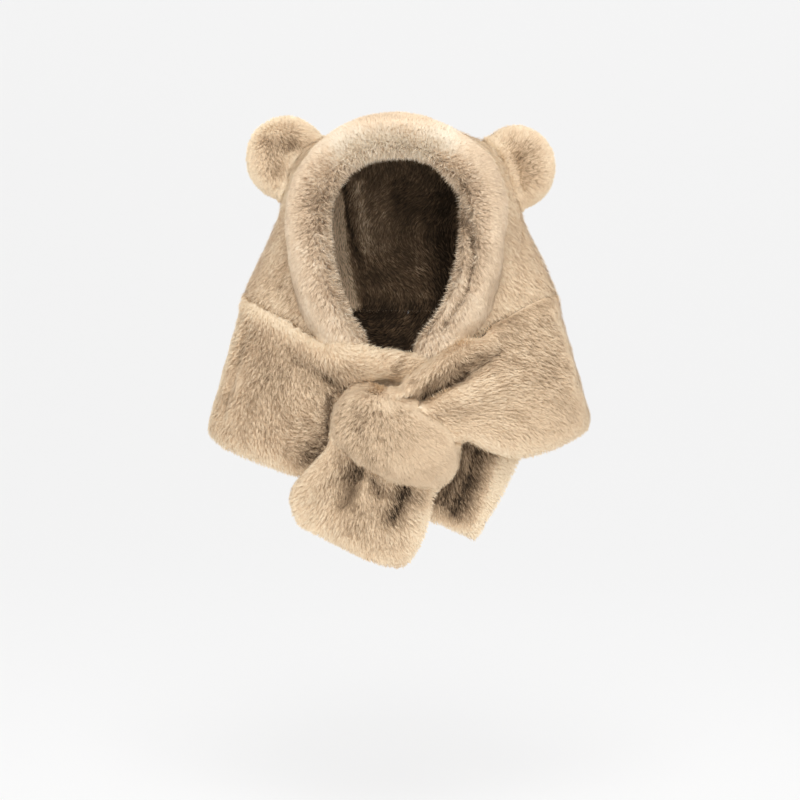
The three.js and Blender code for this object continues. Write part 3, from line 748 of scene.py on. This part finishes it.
# Lighter and darker places of the pile, partly its own tone and partly painted light and shade where
# light falls or is held off: x, z and radius in mm, and the change of tone
LEFT_PATCHES = ((-105, -245, 45, -0.08), (-75, -305, 26, -0.12), (-185, -240, 22, 0.10))
RIGHT_PATCHES = (
    (152, -216, 26, -0.08), (95, -236, 16, 0.06), (130, -290, 36, 0.06), (28, -380, 24, 0.12),
    (-76, -345, 24, 0.14), (-20, -372, 34, 0.10),
)
LOOP_PATCHES = ((25, -300, 26, 0.10), (-35, -265, 20, 0.05))

FACE_MIDDLE = (0.0, -0.086)

# The brim's comb: how much it hangs, what it loses of that at the top, how far it goes back, and the
# least and most of its way outwards
HANG, HANG_LOST, BACKWARDS, OUT_LEAST, OUT_MOST = 0.40, 0.6, 0.12, 0.1, 0.8
# The lining's swirls to the side and down, and how fast each turns, in radians a metre
SWIRL, SWIRL_TURN, FALL, FALL_TURN = 0.7, 45, 0.5, 40
# Where a stroke's flow gives way to hanging hair, by how the cloth faces
STROKE_FADE, STROKE_AROUND = 2.0, 0.4


def from_face(points):
    """Ways from the middle of the face to the points, as seen from the front."""
    aside, up = points[:, 0] - FACE_MIDDLE[0], points[:, 2] - FACE_MIDDLE[1]
    return unit(np.stack([aside, np.zeros(len(points)), up], 1))


def outwardness(points, facing):
    """How far the cloth of the brim faces away from the middle of the face, from -1 to 1."""
    return (facing * from_face(points)).sum(1)


def brim_flow(points, facing):
    """Outwards over the roll, hanging a little; only the inner edge falls into the opening."""
    radial = from_face(points)
    outward = (facing * radial).sum(1, keepdims=True)
    hang = (HANG_LOST * share(radial[:, 2]) - 1.0)[:, None] * np.array([0.0, 0.0, HANG])
    out = np.clip(outward * 0.5 + 0.75, OUT_LEAST, OUT_MOST)
    return radial * out + hang + np.array([0.0, BACKWARDS, 0.0])


def hood_flow(points, facing):
    """Down and a little to the sides."""
    return unit(np.stack([points[:, 0] * 1.5, points[:, 1] * 0.8, np.full(len(points), -0.16)], 1))


def lining_flow(points, facing):
    """Down from the crown, in slow swirls."""
    aside = SWIRL * np.sin(points[:, 2] * SWIRL_TURN + 1.0)
    down = FALL * np.cos(points[:, 0] * FALL_TURN) - 1.0
    return unit(np.stack([aside, np.zeros(len(points)), down], 1))


def stroked(strokes, reach=22.0):
    """A flow that follows the strokes on the front of a piece and hangs down elsewhere."""
    def flow(points, facing):
        front = share(-facing[:, 1] * STROKE_FADE + STROKE_AROUND)[:, None]
        return flow_of(points, strokes, reach) * front + np.array([0.0, 0.0, -1.0]) * (1.0 - front)

    return flow


# Creases (less than nothing) and rolls (more): x, z to x, z, width and height in mm
BRIM_CREASES = (
    (58, -52, 72, -82, 3.4, -4.5), (72, -82, 78, -112, 3.6, -7.0), (78, -112, 72, -146, 3.6, -7.5),
    (72, -146, 50, -182, 3.4, -7.0), (92, -70, 96, -130, 8.0, 2.0),
)
# Places where the brim's outer edge bulges: x, z and radius in mm, and how far
BRIM_SWELLS = ((100, -25, 35, 8.0), (104, -75, 30, 4.0), (95, -125, 28, 2.5), (82, -165, 24, 3.5))
SHELL_CREASES = (
    (-148, -153, -119, -168, 4.0, -1.5), (-119, -168, -79, -187, 4.0, -1.5),
    (106, -176, 150, -158, 4.0, -1.5),
)
LEFT_CREASES = (
    (-142, -186, -157, -230, 3.5, -4.5), (-157, -230, -169, -272, 3.5, -4.5),
    (-150, -166, -102, -182, 7.0, 3.0),
    (-102, -182, -76, -198, 7.0, 3.0), (-76, -200, -52, -210, 10.0, 4.0),
    (-52, -206, 8, -218, 11.0, 8.5), (-50, -244, -4, -238, 4.0, -8.0),
    (-92, -218, -66, -228, 6.0, -2.0),
    (-66, -228, -50, -242, 5.0, -4.0), (-70, -250, -88, -300, 6.0, -2.5),
    (-110, -225, -125, -290, 7.0, -2.0),
    (78, -302, 60, -352, 12.0, -4.0),
)
RIGHT_CREASES = (
    (104, -206, 70, -230, 4.0, -6.0), (70, -230, 16, -255, 4.5, -8.5),
    (72, -206, 20, -234, 9.0, 5.0),
    (128, -230, 64, -256, 10.0, 4.0), (150, -205, 172, -270, 6.0, -1.6),
    (98, -184, 150, -170, 6.0, 3.0),
    (-29, -325, -41, -348, 7.0, -8.0), (-17, -328, -9, -343, 3.5, -4.0),
    (14, -336, 6, -357, 7.0, -6.0),
    (-24, -334, -26, -366, 4.0, 2.0), (-2, -334, -4, -372, 5.0, 2.5),
)
LOOP_CREASES = (
    (-30, -252, -18, -318, 4.0, -1.6), (-6, -262, 0, -318, 3.5, -1.4),
    (-44, -268, -40, -300, 4.0, -1.2),
    (-45, -252, 16, -246, 6.0, 2.5), (30, -290, 34, -320, 14.0, 1.5),
)
LEFT_EAR_CREASES = (
    (-128, -4, -94, -12, 8.0, -5.0), (-118, -14, -106, -32, 14.0, -5.0),
    (-141, 2, -109, 16, 7.0, 1.5),
)
RIGHT_EAR_CREASES = ((114, -20, 120, -52, 5.0, -3.0), (114, -28, 120, -40, 14.0, -2.5))
LINING_CREASES = (
    (-63, -45, -61, -78, 3.0, -1.2), (-61, -78, -49, -118, 3.0, -1.2),
    (-40, -100, 40, -186, 3.0, -1.5), (-60, -180, 60, -178, 3.0, -2.0),
    (0, -60, 30, -110, 5.0, 1.5), (-22, -90, 8, -150, 5.0, 1.5),
)

# Strips of painted light and shade on the pile, darker in creases, seam grooves and under overlapping
# parts, lighter on edges, rolls and tops that the light reaches: x, z to x, z and width in mm, and
# the change of tone
# The hood: painted shade along its seams to the scarf, painted light beside the brim's outer edge
SHELL_LIGHT_AND_SHADE = (
    (-150, -153, -119, -167, 2.4, -0.22), (-119, -167, -79, -186, 2.4, -0.30),
    (97, -181, 130, -165, 2.8, -0.46), (130, -165, 155, -152, 2.8, -0.42),
    (-108, -140, -84, -168, 16.0, -0.13),
    (-110, -62, -94, -30, 9.0, 0.24), (-94, -30, -66, -2, 9.0, 0.24), (-66, -2, -30, 14, 9.0, 0.24),
    (45, 14, 70, 2, 10.0, 0.26), (70, 2, 96, -30, 10.0, 0.26), (96, -30, 110, -74, 9.0, 0.22),
)
# The brim: painted shade in its crease and on its sides, painted light across its upper front, a
# little darker along its very top
BRIM_LIGHT_AND_SHADE = (
    (58, -52, 72, -82, 3.0, -0.40), (72, -82, 78, -112, 3.4, -0.52),
    (78, -112, 72, -146, 3.4, -0.56),
    (72, -146, 50, -182, 3.4, -0.50), (84, -84, 86, -140, 6.0, -0.14),
    (-76, -60, -80, -140, 9.0, -0.12),
    (-45, -9, 50, -9, 14.0, 0.40), (-60, 16, 60, 16, 7.0, -0.10), (88, -30, 92, -150, 16.0, -0.12),
)
# The ears: painted shade in the left one's cup and the right one's crease
LEFT_EAR_SHADE = (
    (-130, -2, -112, -4, 8.0, -0.28), (-112, -4, -92, -12, 8.0, -0.30),
    (-120, -28, -98, -34, 12.0, -0.16),
)
RIGHT_EAR_SHADE = ((113, -18, 119, -44, 5.0, -0.22),)
# The lining: lighter on its left wall, partly the brim's lighter facing and partly painted light
# reaching in; painted shade in its seam grooves, on its right and along its lower edge
LINING_LIGHT_AND_SHADE = (
    (-73, -55, -70, -110, 7.5, 1.50), (-70, -110, -58, -165, 8.0, 1.20),
    (-63, -40, -61, -78, 2.2, -0.40),
    (-61, -78, -57, -98, 2.2, -0.40), (-57, -98, -49, -118, 2.2, -0.30),
    (-49, -45, -40, -108, 10.0, 0.40),
    (-30, -50, -24, -105, 12.0, 0.22), (-8, -48, 2, -72, 12.0, -0.12),
    (8, -95, 14, -125, 9.0, 0.12),
    (-45, -154, 35, -156, 6.0, 0.06), (-60, -178, 60, -178, 15.0, -0.30),
    (0, -60, 34, -112, 4.0, 0.08),
    (40, -50, 40, -150, 16.0, -0.30),
)
# The left half: painted shade in its border crease, under the collar roll, beside the loop and on the
# tail behind, painted light along its top edge, its border, the roll's top and the tail's rims
LEFT_LIGHT_AND_SHADE = (
    (-143, -188, -169, -272, 4.0, -0.24), (-155, -190, -182, -262, 6.0, 0.16),
    (-143, -166, -119, -178, 5.0, 0.20), (-119, -178, -79, -197, 5.0, 0.20),
    (-79, -197, -45, -210, 6.0, 0.14),
    (-50, -245, -4, -239, 3.0, -0.75), (-92, -218, -66, -229, 5.0, -0.10),
    (-66, -229, -48, -243, 4.0, -0.32),
    (-58, -250, -60, -296, 6.0, -0.42), (-66, -296, -86, -318, 11.0, -0.24),
    (-3, -240, 14, -208, 3.5, -0.30),
    (86, -298, 61, -358, 15.0, -0.54), (70, -298, 50, -346, 14.0, -0.46),
    (-60, -208, 0, -214, 8.0, 0.10),
    (106, -305, 84, -386, 8.0, 0.30), (48, -376, 82, -390, 7.0, 0.25),
)
# The right half: painted shade in its folds, in the front tail's recesses, under the loop and along
# the seam to the hood
RIGHT_SHADE = (
    (100, -208, 70, -230, 3.5, -0.32), (70, -230, 16, -255, 4.0, -0.75),
    (84, -212, 34, -240, 8.0, -0.22),
    (-32, -320, -40, -350, 12.0, -0.62), (-17, -325, -9, -341, 5.0, -0.50),
    (14, -334, 4, -360, 10.0, -0.54),
    (-42, -330, 30, -346, 8.0, -0.30), (-38, -345, -30, -372, 12.0, -0.16),
    (96, -184, 157, -155, 4.0, -0.36), (104, -190, 160, -164, 8.0, -0.10),
)
# The loop: painted shade in its creases
LOOP_SHADE = (
    (-30, -254, -18, -318, 3.0, -0.10), (-6, -262, 0, -316, 3.0, -0.08),
    (-44, -268, -40, -300, 3.0, -0.08),
)

# Calmer places, where the hair lies smooth: x, z and radius in mm, and how much calmer
LEFT_CALM = ((-178, -235, 18, -0.5), (-130, -285, 20, -0.2), (74, -330, 34, -0.65))
RIGHT_CALM = (
    (140, -280, 44, -0.5), (175, -265, 24, -0.5), (70, -285, 24, -0.4), (-36, -340, 12, -0.4),
    (8, -350, 12, -0.4),
)
LOOP_CALM = ((38, -303, 32, -0.9), (14, -325, 20, -0.7))

# One row for each sewn piece, all lengths in mm.
# Skin: the grain and smoothing of its mesh, its depth under the solid's surface, most, the share of
# its thickness that this may take, cap, how far the stuffing may blow it up, and what it meets.
# Creases and marks count on the front: around says how far round the sides they reach, deep (in cm)
# how far back, and beyond from which y on. Swells bulge the brim.
# Pile: its hairs, the share of them that the back has, their length, width and lean, the flow of the
# comb, the size and pull of their locks, and how they wave, curl and stray.
# Tone: the shade, which for each piece holds painted light and shade besides the plush's own tone,
# its contrast in a lock with painted shade in the partings, the painted rim light within the hem of
# an edge as far back as behind, the painted shade inside the scarf, the patches, partly own tone and
# partly painted light and shade, the marks of painted light and shade, and the calm places.
COMMON = dict(
    slot="plush", smoothing=2, depth=3.6, most=0.26, cap=0.0, meets=(), around=0.0, deep=3.0,
    beyond=-400.0, behind=200.0, swells=(), back=0.45, length=7.2, width=0.64, lean=0.68, curl=0.40,
    wild=0.14, contrast=0.44, rim=0.0, hem=9.0, inside=None, patches=(), calm=(),
)
PIECES = {
    "hood_shell": dict(
        COMMON, grain=5.0, smoothing=3, most=0.28, creases=SHELL_CREASES, around=0.4, hairs=70000,
        back=0.7, length=7.4, width=0.70, lean=0.72, flow=hood_flow, lock=2.8, pull=0.6, wave=0.35,
        seed=11, shade=0.77, contrast=0.34, marks=SHELL_LIGHT_AND_SHADE,
    ),
    "hood_lining": dict(
        COMMON, slot="lining", grain=4.2, depth=1.0, most=0.15, creases=LINING_CREASES, around=1.0,
        deep=20.0, beyond=25.0, hairs=30000, length=7.5, width=0.78, lean=0.80, flow=lining_flow,
        lock=3.4, pull=0.5, wave=0.8, wild=0.10, seed=23, shade=0.41, contrast=0.20,
        marks=LINING_LIGHT_AND_SHADE,
    ),
    "brim_roll": dict(
        COMMON, slot="brim_plush", grain=4.0, smoothing=3, depth=5.5, cap=3.0, creases=BRIM_CREASES,
        around=0.6, swells=BRIM_SWELLS, hairs=94000, length=7.8, width=0.68, lean=0.64,
        flow=brim_flow, lock=2.8, pull=0.8, wave=0.32, curl=0.25, wild=0.15, seed=37, shade=0.68,
        contrast=0.36, marks=BRIM_LIGHT_AND_SHADE,
    ),
    "ear_left": dict(
        COMMON, grain=3.2, most=0.20, cap=0.8, creases=LEFT_EAR_CREASES, hairs=21000, back=0.8,
        flow=stroked(LEFT_EAR_COMB, 16.0), lock=2.6, pull=0.7, wave=0.3, wild=0.15, seed=41,
        shade=0.64, rim=0.34, hem=12.0, marks=LEFT_EAR_SHADE,
    ),
    "ear_right": dict(
        COMMON, grain=3.2, most=0.20, cap=0.8, creases=RIGHT_EAR_CREASES, hairs=21000, back=0.8,
        lean=0.70, flow=stroked(RIGHT_EAR_COMB, 16.0), lock=2.6, pull=0.7, wave=0.3, seed=43,
        shade=0.62, rim=0.28, hem=12.0, marks=RIGHT_EAR_SHADE,
    ),
    "scarf_left": dict(
        COMMON, grain=4.0, depth=4.0, creases=LEFT_CREASES, around=0.5, behind=60.0, hairs=84000,
        length=8.2, width=0.66, flow=stroked(LEFT_COMB), lock=3.5, pull=1.1, wave=0.38, curl=0.55,
        wild=0.16, seed=53, shade=0.65, rim=0.34, hem=12.0, inside=0.045, patches=LEFT_PATCHES,
        marks=LEFT_LIGHT_AND_SHADE, calm=LEFT_CALM,
    ),
    "scarf_right": dict(
        COMMON, grain=4.0, depth=4.0, meets=("hood_shell", "brim_roll"), creases=RIGHT_CREASES,
        around=0.5, behind=60.0, hairs=84000, length=8.2, width=0.66, lean=0.75,
        flow=stroked(RIGHT_COMB), lock=3.2, pull=0.95, wave=0.32, seed=61, shade=0.60,
        contrast=0.34, rim=0.26, hem=11.0, inside=0.045, patches=RIGHT_PATCHES, marks=RIGHT_SHADE,
        calm=RIGHT_CALM,
    ),
    "keeper_loop": dict(
        COMMON, grain=3.4, smoothing=3, depth=5.0, cap=1.5, creases=LOOP_CREASES, hairs=34000,
        flow=stroked(LOOP_COMB), lock=3.0, pull=0.75, wave=0.35, wild=0.16, seed=71, shade=0.56,
        contrast=0.30, rim=0.18, patches=LOOP_PATCHES, marks=LOOP_SHADE, calm=LOOP_CALM,
    ),
}

hairs_of = {
    "plush": hair_material("camel pile", CAMEL, 0.70),
    "brim_plush": hair_material("cream pile", CREAM, 0.76),
    # The lining's darker pile: partly its own brown, partly painted shade of the hood's inside
    "lining": hair_material("dark lining pile", BROWN, 0.50, 0.03),
}
skins_of = {
    "plush": skin_material("camel cloth", CAMEL, 1.0),
    "brim_plush": skin_material("cream cloth", CREAM, 1.0),
    # The lining's cloth is darker too: partly its own brown, partly painted shade of the hood's
    # inside
    "lining": skin_material("dark lining cloth", BROWN, 0.6),
}

# How fast creases and marks fade where the cloth turns away, far back, and before the y they begin at
TURN_FADE, DEEP_FADE, BEYOND_FADE = 1.6, 10 * MM, 30 * MM
# How far the room over the cloth is looked for: up to the own solid's surface, and to the neighbours
OWN_FAR, OWN_MOST, ROOM_FAR = 0.02, 0.012, 0.03
# Room that the pile needs to grow at all and to grow to its full length, and its least length
ROOM_TO_GROW, BARE_SHARE, ROOM_FOR_ALL, LEAST_PILE = 1.6 * MM, 0.1, 12 * MM, 0.32
# An edge is where a piece is thinner than this; its hem fades over this way towards the back
THIN_EDGE, HEM_FADE = 7 * MM, 80 * MM
# At the hem the hair is shorter, calmer and leans more; in the brim's fringe it is longer and looser
HEM_SHORTER, HEM_CALMER, HEM_LEAN = 0.34, 0.70, 0.12
FRINGE_LONGER, FRINGE_LOOSER = 0.35, 0.9
# The skin is a little darker than its hairs, painted shade under the pile, and lighter where it shows
# bare
SKIN_DARKER, BARE_LIGHTER, SKIN_LIGHTEST = 0.08, 0.22, 0.9
# The painted shade inside the scarf begins above this z and behind the middle, and the hair there is
# calmer; all in mm
INSIDE_LOW, INSIDE_FADE, INSIDE_CALMER = 260, 25, 0.7
# How sure it is that cloth faces the neck, and how steeply it may face upwards before it counts too
NECKWARDS, UPWARDS, UPWARDS_FROM = 3.0, 2.0, 0.25
# The brim's opening is wider by this, in mm, and by this more on the right, over this way
OPENED, OPENED_RIGHT, RIGHT_FADE = 1.5, 5.0, 40 * MM
# The hairs are fewest where the cloth faces this much to the back
BACK_FROM = 0.6


def face_share(row, points, facing):
    """How much creases and marks count: all on the front of the piece, nothing on its back."""
    turned = share(-facing[:, 1] * TURN_FADE + row["around"])
    front = turned * share(row["deep"] - points[:, 1] / DEEP_FADE)
    return front * share((points[:, 1] - row["beyond"] * MM) / BEYOND_FADE)


def inside_share(points, facing):
    """Where the cloth is the inner side of the scarf, behind the neck, and gets painted shade."""
    towards = -(unit(points[:, :2]) * facing[:, :2]).sum(1)
    upward = UPWARDS * share(facing[:, 2] - UPWARDS_FROM)
    high = share((points[:, 2] / MM + INSIDE_LOW) / INSIDE_FADE)
    return share(towards * NECKWARDS + upward) * high * share(points[:, 1] / (INSIDE_FADE * MM))


def swell_brim(mesh, points, facing, swells):
    """Bulges the brim's outer edge, widens its inner one, and gives hem, fringe and points."""
    outward = outwardness(points, facing)
    fringe = share(-outward * 2.0 - 0.7)
    aside = OPENED + OPENED_RIGHT * share(points[:, 0] / RIGHT_FADE)
    swell = patches_of(points, swells) * share(outward * 1.5)
    points = points + facing * (swell - fringe * aside)[:, None] * MM
    move(mesh, points)
    return share(outward * 2.0 + 0.1), fringe, points


def shaped(name, row, others):
    """The skin of a piece, joined to its neighbours, stuffed and creased, with its thickness."""
    skin = even_skin(name, name + "_cloth", row["grain"] * MM, row["smoothing"])
    thickness = sink(skin, row["depth"] * MM, row["most"], bodies[name], others)
    if row["meets"]:
        meet(skin, tree_of([solids[key].data for key in row["meets"]]), MEET_FAR)
    if row["cap"]:
        puff(skin, PRESSURE, row["cap"] * MM)
    skin.data.shade_smooth()
    points, facing = surface(skin.data)
    front = face_share(row, points, facing)
    relief = along_lines(points, row["creases"]) * front
    move(skin.data, points + facing * relief[:, None] * MM)
    return skin, thickness, front


def comb_skin(mesh, row, thickness, front, own, others):
    """Stores on the skin where the pile grows, how long, how loose, which way and in what tone."""
    points, facing = surface(mesh)

    # Room up to the neighbours: no hair where they lie on the cloth, short hair where they are near
    depth = distances(own, points, facing, 0.0, OWN_FAR)
    above = distances(others, points, facing, 0.0, ROOM_FAR)
    room = np.maximum(above - np.minimum(depth, OWN_MOST), 0.0)
    cover = relaxed(mesh, share(room / ROOM_TO_GROW - BARE_SHARE), 3)
    bare = 1.0 - cover
    thinned = row["back"] + (1.0 - row["back"]) * share(BACK_FROM - facing[:, 1])
    store(mesh, "cover", cover * thinned)

    hem, fringe = np.zeros(len(points)), np.zeros(len(points))
    # Painted rim light: the hem of an edge seen from the front is lighter
    if row["rim"]:
        hem = hem_share(points, facing, thickness, THIN_EDGE, row["hem"] * MM)
        hem = relaxed(mesh, hem * share((row["behind"] * MM - points[:, 1]) / HEM_FADE), 5)
    if row["swells"]:
        hem, fringe, points = swell_brim(mesh, points, facing, row["swells"])
    long = np.clip(LEAST_PILE + relaxed(mesh, room, 2) / ROOM_FOR_ALL, LEAST_PILE, 1.0)
    store(mesh, "pile", long * (1.0 - HEM_SHORTER * hem + FRINGE_LONGER * fringe))
    store(mesh, "lie", facing)
    lean = row["lean"] + HEM_LEAN * hem[:, None]
    store(mesh, "comb", laid(facing, row["flow"](points, facing), lean))

    loose = np.clip(1.0 - HEM_CALMER * hem + patches_of(points, row["calm"]), 0.1, 1.0)
    loose = loose + FRINGE_LOOSER * fringe
    # Painted light and shade from the marks and patches, the patches partly the pile's own tone,
    # counted on the front; painted rim light along the hems
    painted = patches_of(points, row["patches"]) + along_lines(points, row["marks"])
    shade = row["shade"] + painted * front + row["rim"] * hem
    # Painted shade on the inner side of the scarf behind the neck
    if row["inside"]:
        inside = inside_share(points, facing)
        shade = shade * (1.0 - inside) + row["inside"] * inside
        loose = loose * (1.0 - INSIDE_CALMER * inside)
    store(mesh, "loose", loose)
    store(mesh, "shade", shade)
    lighter = BARE_LIGHTER * bare * share(shade * 4.0 - 1.6)
    store(mesh, "undertone", np.clip(shade - SKIN_DARKER + lighter, 0.0, SKIN_LIGHTEST))


solids = {name: closed_copy(name, name + " solid") for name in PIECES}
bodies = {name: tree_of([solid.data]) for name, solid in solids.items()}
skins = {}
piles = {}
for name, row in PIECES.items():
    others = tree_of([other.data for key, other in solids.items() if key != name])
    skin, thickness, front = shaped(name, row, others)
    comb_skin(skin.data, row, thickness, front, bodies[name], others)
    skin.data.materials.append(skins_of[row["slot"]])
    piles[name] = grow(skin, name + "_pile", row, hairs_of[row["slot"]])
    drop(skin.data, PILE_LAYERS)
    skins[name] = skin
for solid in solids.values():
    bpy.data.objects.remove(solid)


# Room, light and camera

def backdrop():
    """A pale floor that sweeps up into a wall far behind the piece."""
    width, front, back, height, bend, level = 12.0, -12.0, 2.6, 9.0, 1.2, -0.68
    steps = 12
    line = [(front, level)]
    for step in range(steps + 1):
        turn = math.pi / 2 * step / steps
        line.append((back - bend + bend * math.sin(turn), level + bend - bend * math.cos(turn)))
    line.append((back, height))
    shape = bmesh.new()
    rows = [[shape.verts.new((x, y, z)) for y, z in line] for x in (-width, width)]
    for step in range(len(line) - 1):
        shape.faces.new((rows[0][step], rows[1][step], rows[1][step + 1], rows[0][step + 1]))
    mesh = bpy.data.meshes.new("pale sweep")
    shape.to_mesh(mesh)
    shape.free()
    mesh.shade_smooth()
    sweep = new_object("pale_sweep", mesh)
    material, shader, _ = new_material("pale paper", 0.9)
    shader.inputs["Base Color"].default_value = (0.35, 0.35, 0.35, 1.0)
    shader.inputs["Sheen Weight"].default_value = 0.0
    shader.inputs["Emission Color"].default_value = WHITE
    shader.inputs["Emission Strength"].default_value = 0.60
    mesh.materials.append(material)


def turned_to(holder, place, way):
    """Puts a lamp or a camera at a place, looking along a way."""
    scene.collection.objects.link(holder)
    holder.location = place
    holder.rotation_mode = "QUATERNION"
    holder.rotation_quaternion = way.to_track_quat("-Z", "Y")


def lamp(name, place, aim, size, power):
    """A soft square lamp that looks at a point."""
    light = bpy.data.lights.new(name, "AREA")
    light.shape = "SQUARE"
    light.size = size
    light.energy = power
    turned_to(bpy.data.objects.new(name, light), place, Vector(aim) - Vector(place))


backdrop()
lamp("soft lamp above", (0.12, -1.05, 1.20), (0.0, 0.0, -0.15), 0.9, 15.2)
lamp("front fill", (0.3, -2.1, 0.05), (0.0, 0.0, -0.2), 1.6, 13.0)
world = bpy.data.worlds.new("pale room")
scene.world = world
world.use_nodes = True
background = world.node_tree.nodes["Background"]
background.inputs["Color"].default_value = WHITE
background.inputs["Strength"].default_value = 0.64
scene.view_settings.view_transform = "Standard"

# The photo's view
AZIMUTH, ELEVATION, AWAY = math.radians(5.0), math.radians(4.0), 2.22
AIM = Vector((0.0, 0.0, -0.26))
level = math.cos(ELEVATION)
back = Vector((math.sin(AZIMUTH) * level, -math.cos(AZIMUTH) * level, math.sin(ELEVATION)))
camera = bpy.data.objects.new("photo view", bpy.data.cameras.new("photo view"))
camera.data.lens = 99.9
camera.data.sensor_width = 36.0
turned_to(camera, AIM + back * AWAY, -back)
scene.camera = camera


# Pieces held from the root

# Share of each padded piece that is filled
FILL = {"brim_roll": 0.75, "ear_left": 0.4, "ear_right": 0.4, "keeper_loop": 0.55}
# Each piece: its skin and its pile hang from the root, and its solid from the frame is hidden
for name, row in PIECES.items():
    skin, hair = skins[name], piles[name]
    for piece in (skin, hair):
        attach(piece, "root")
    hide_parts(name)
    name in FILL
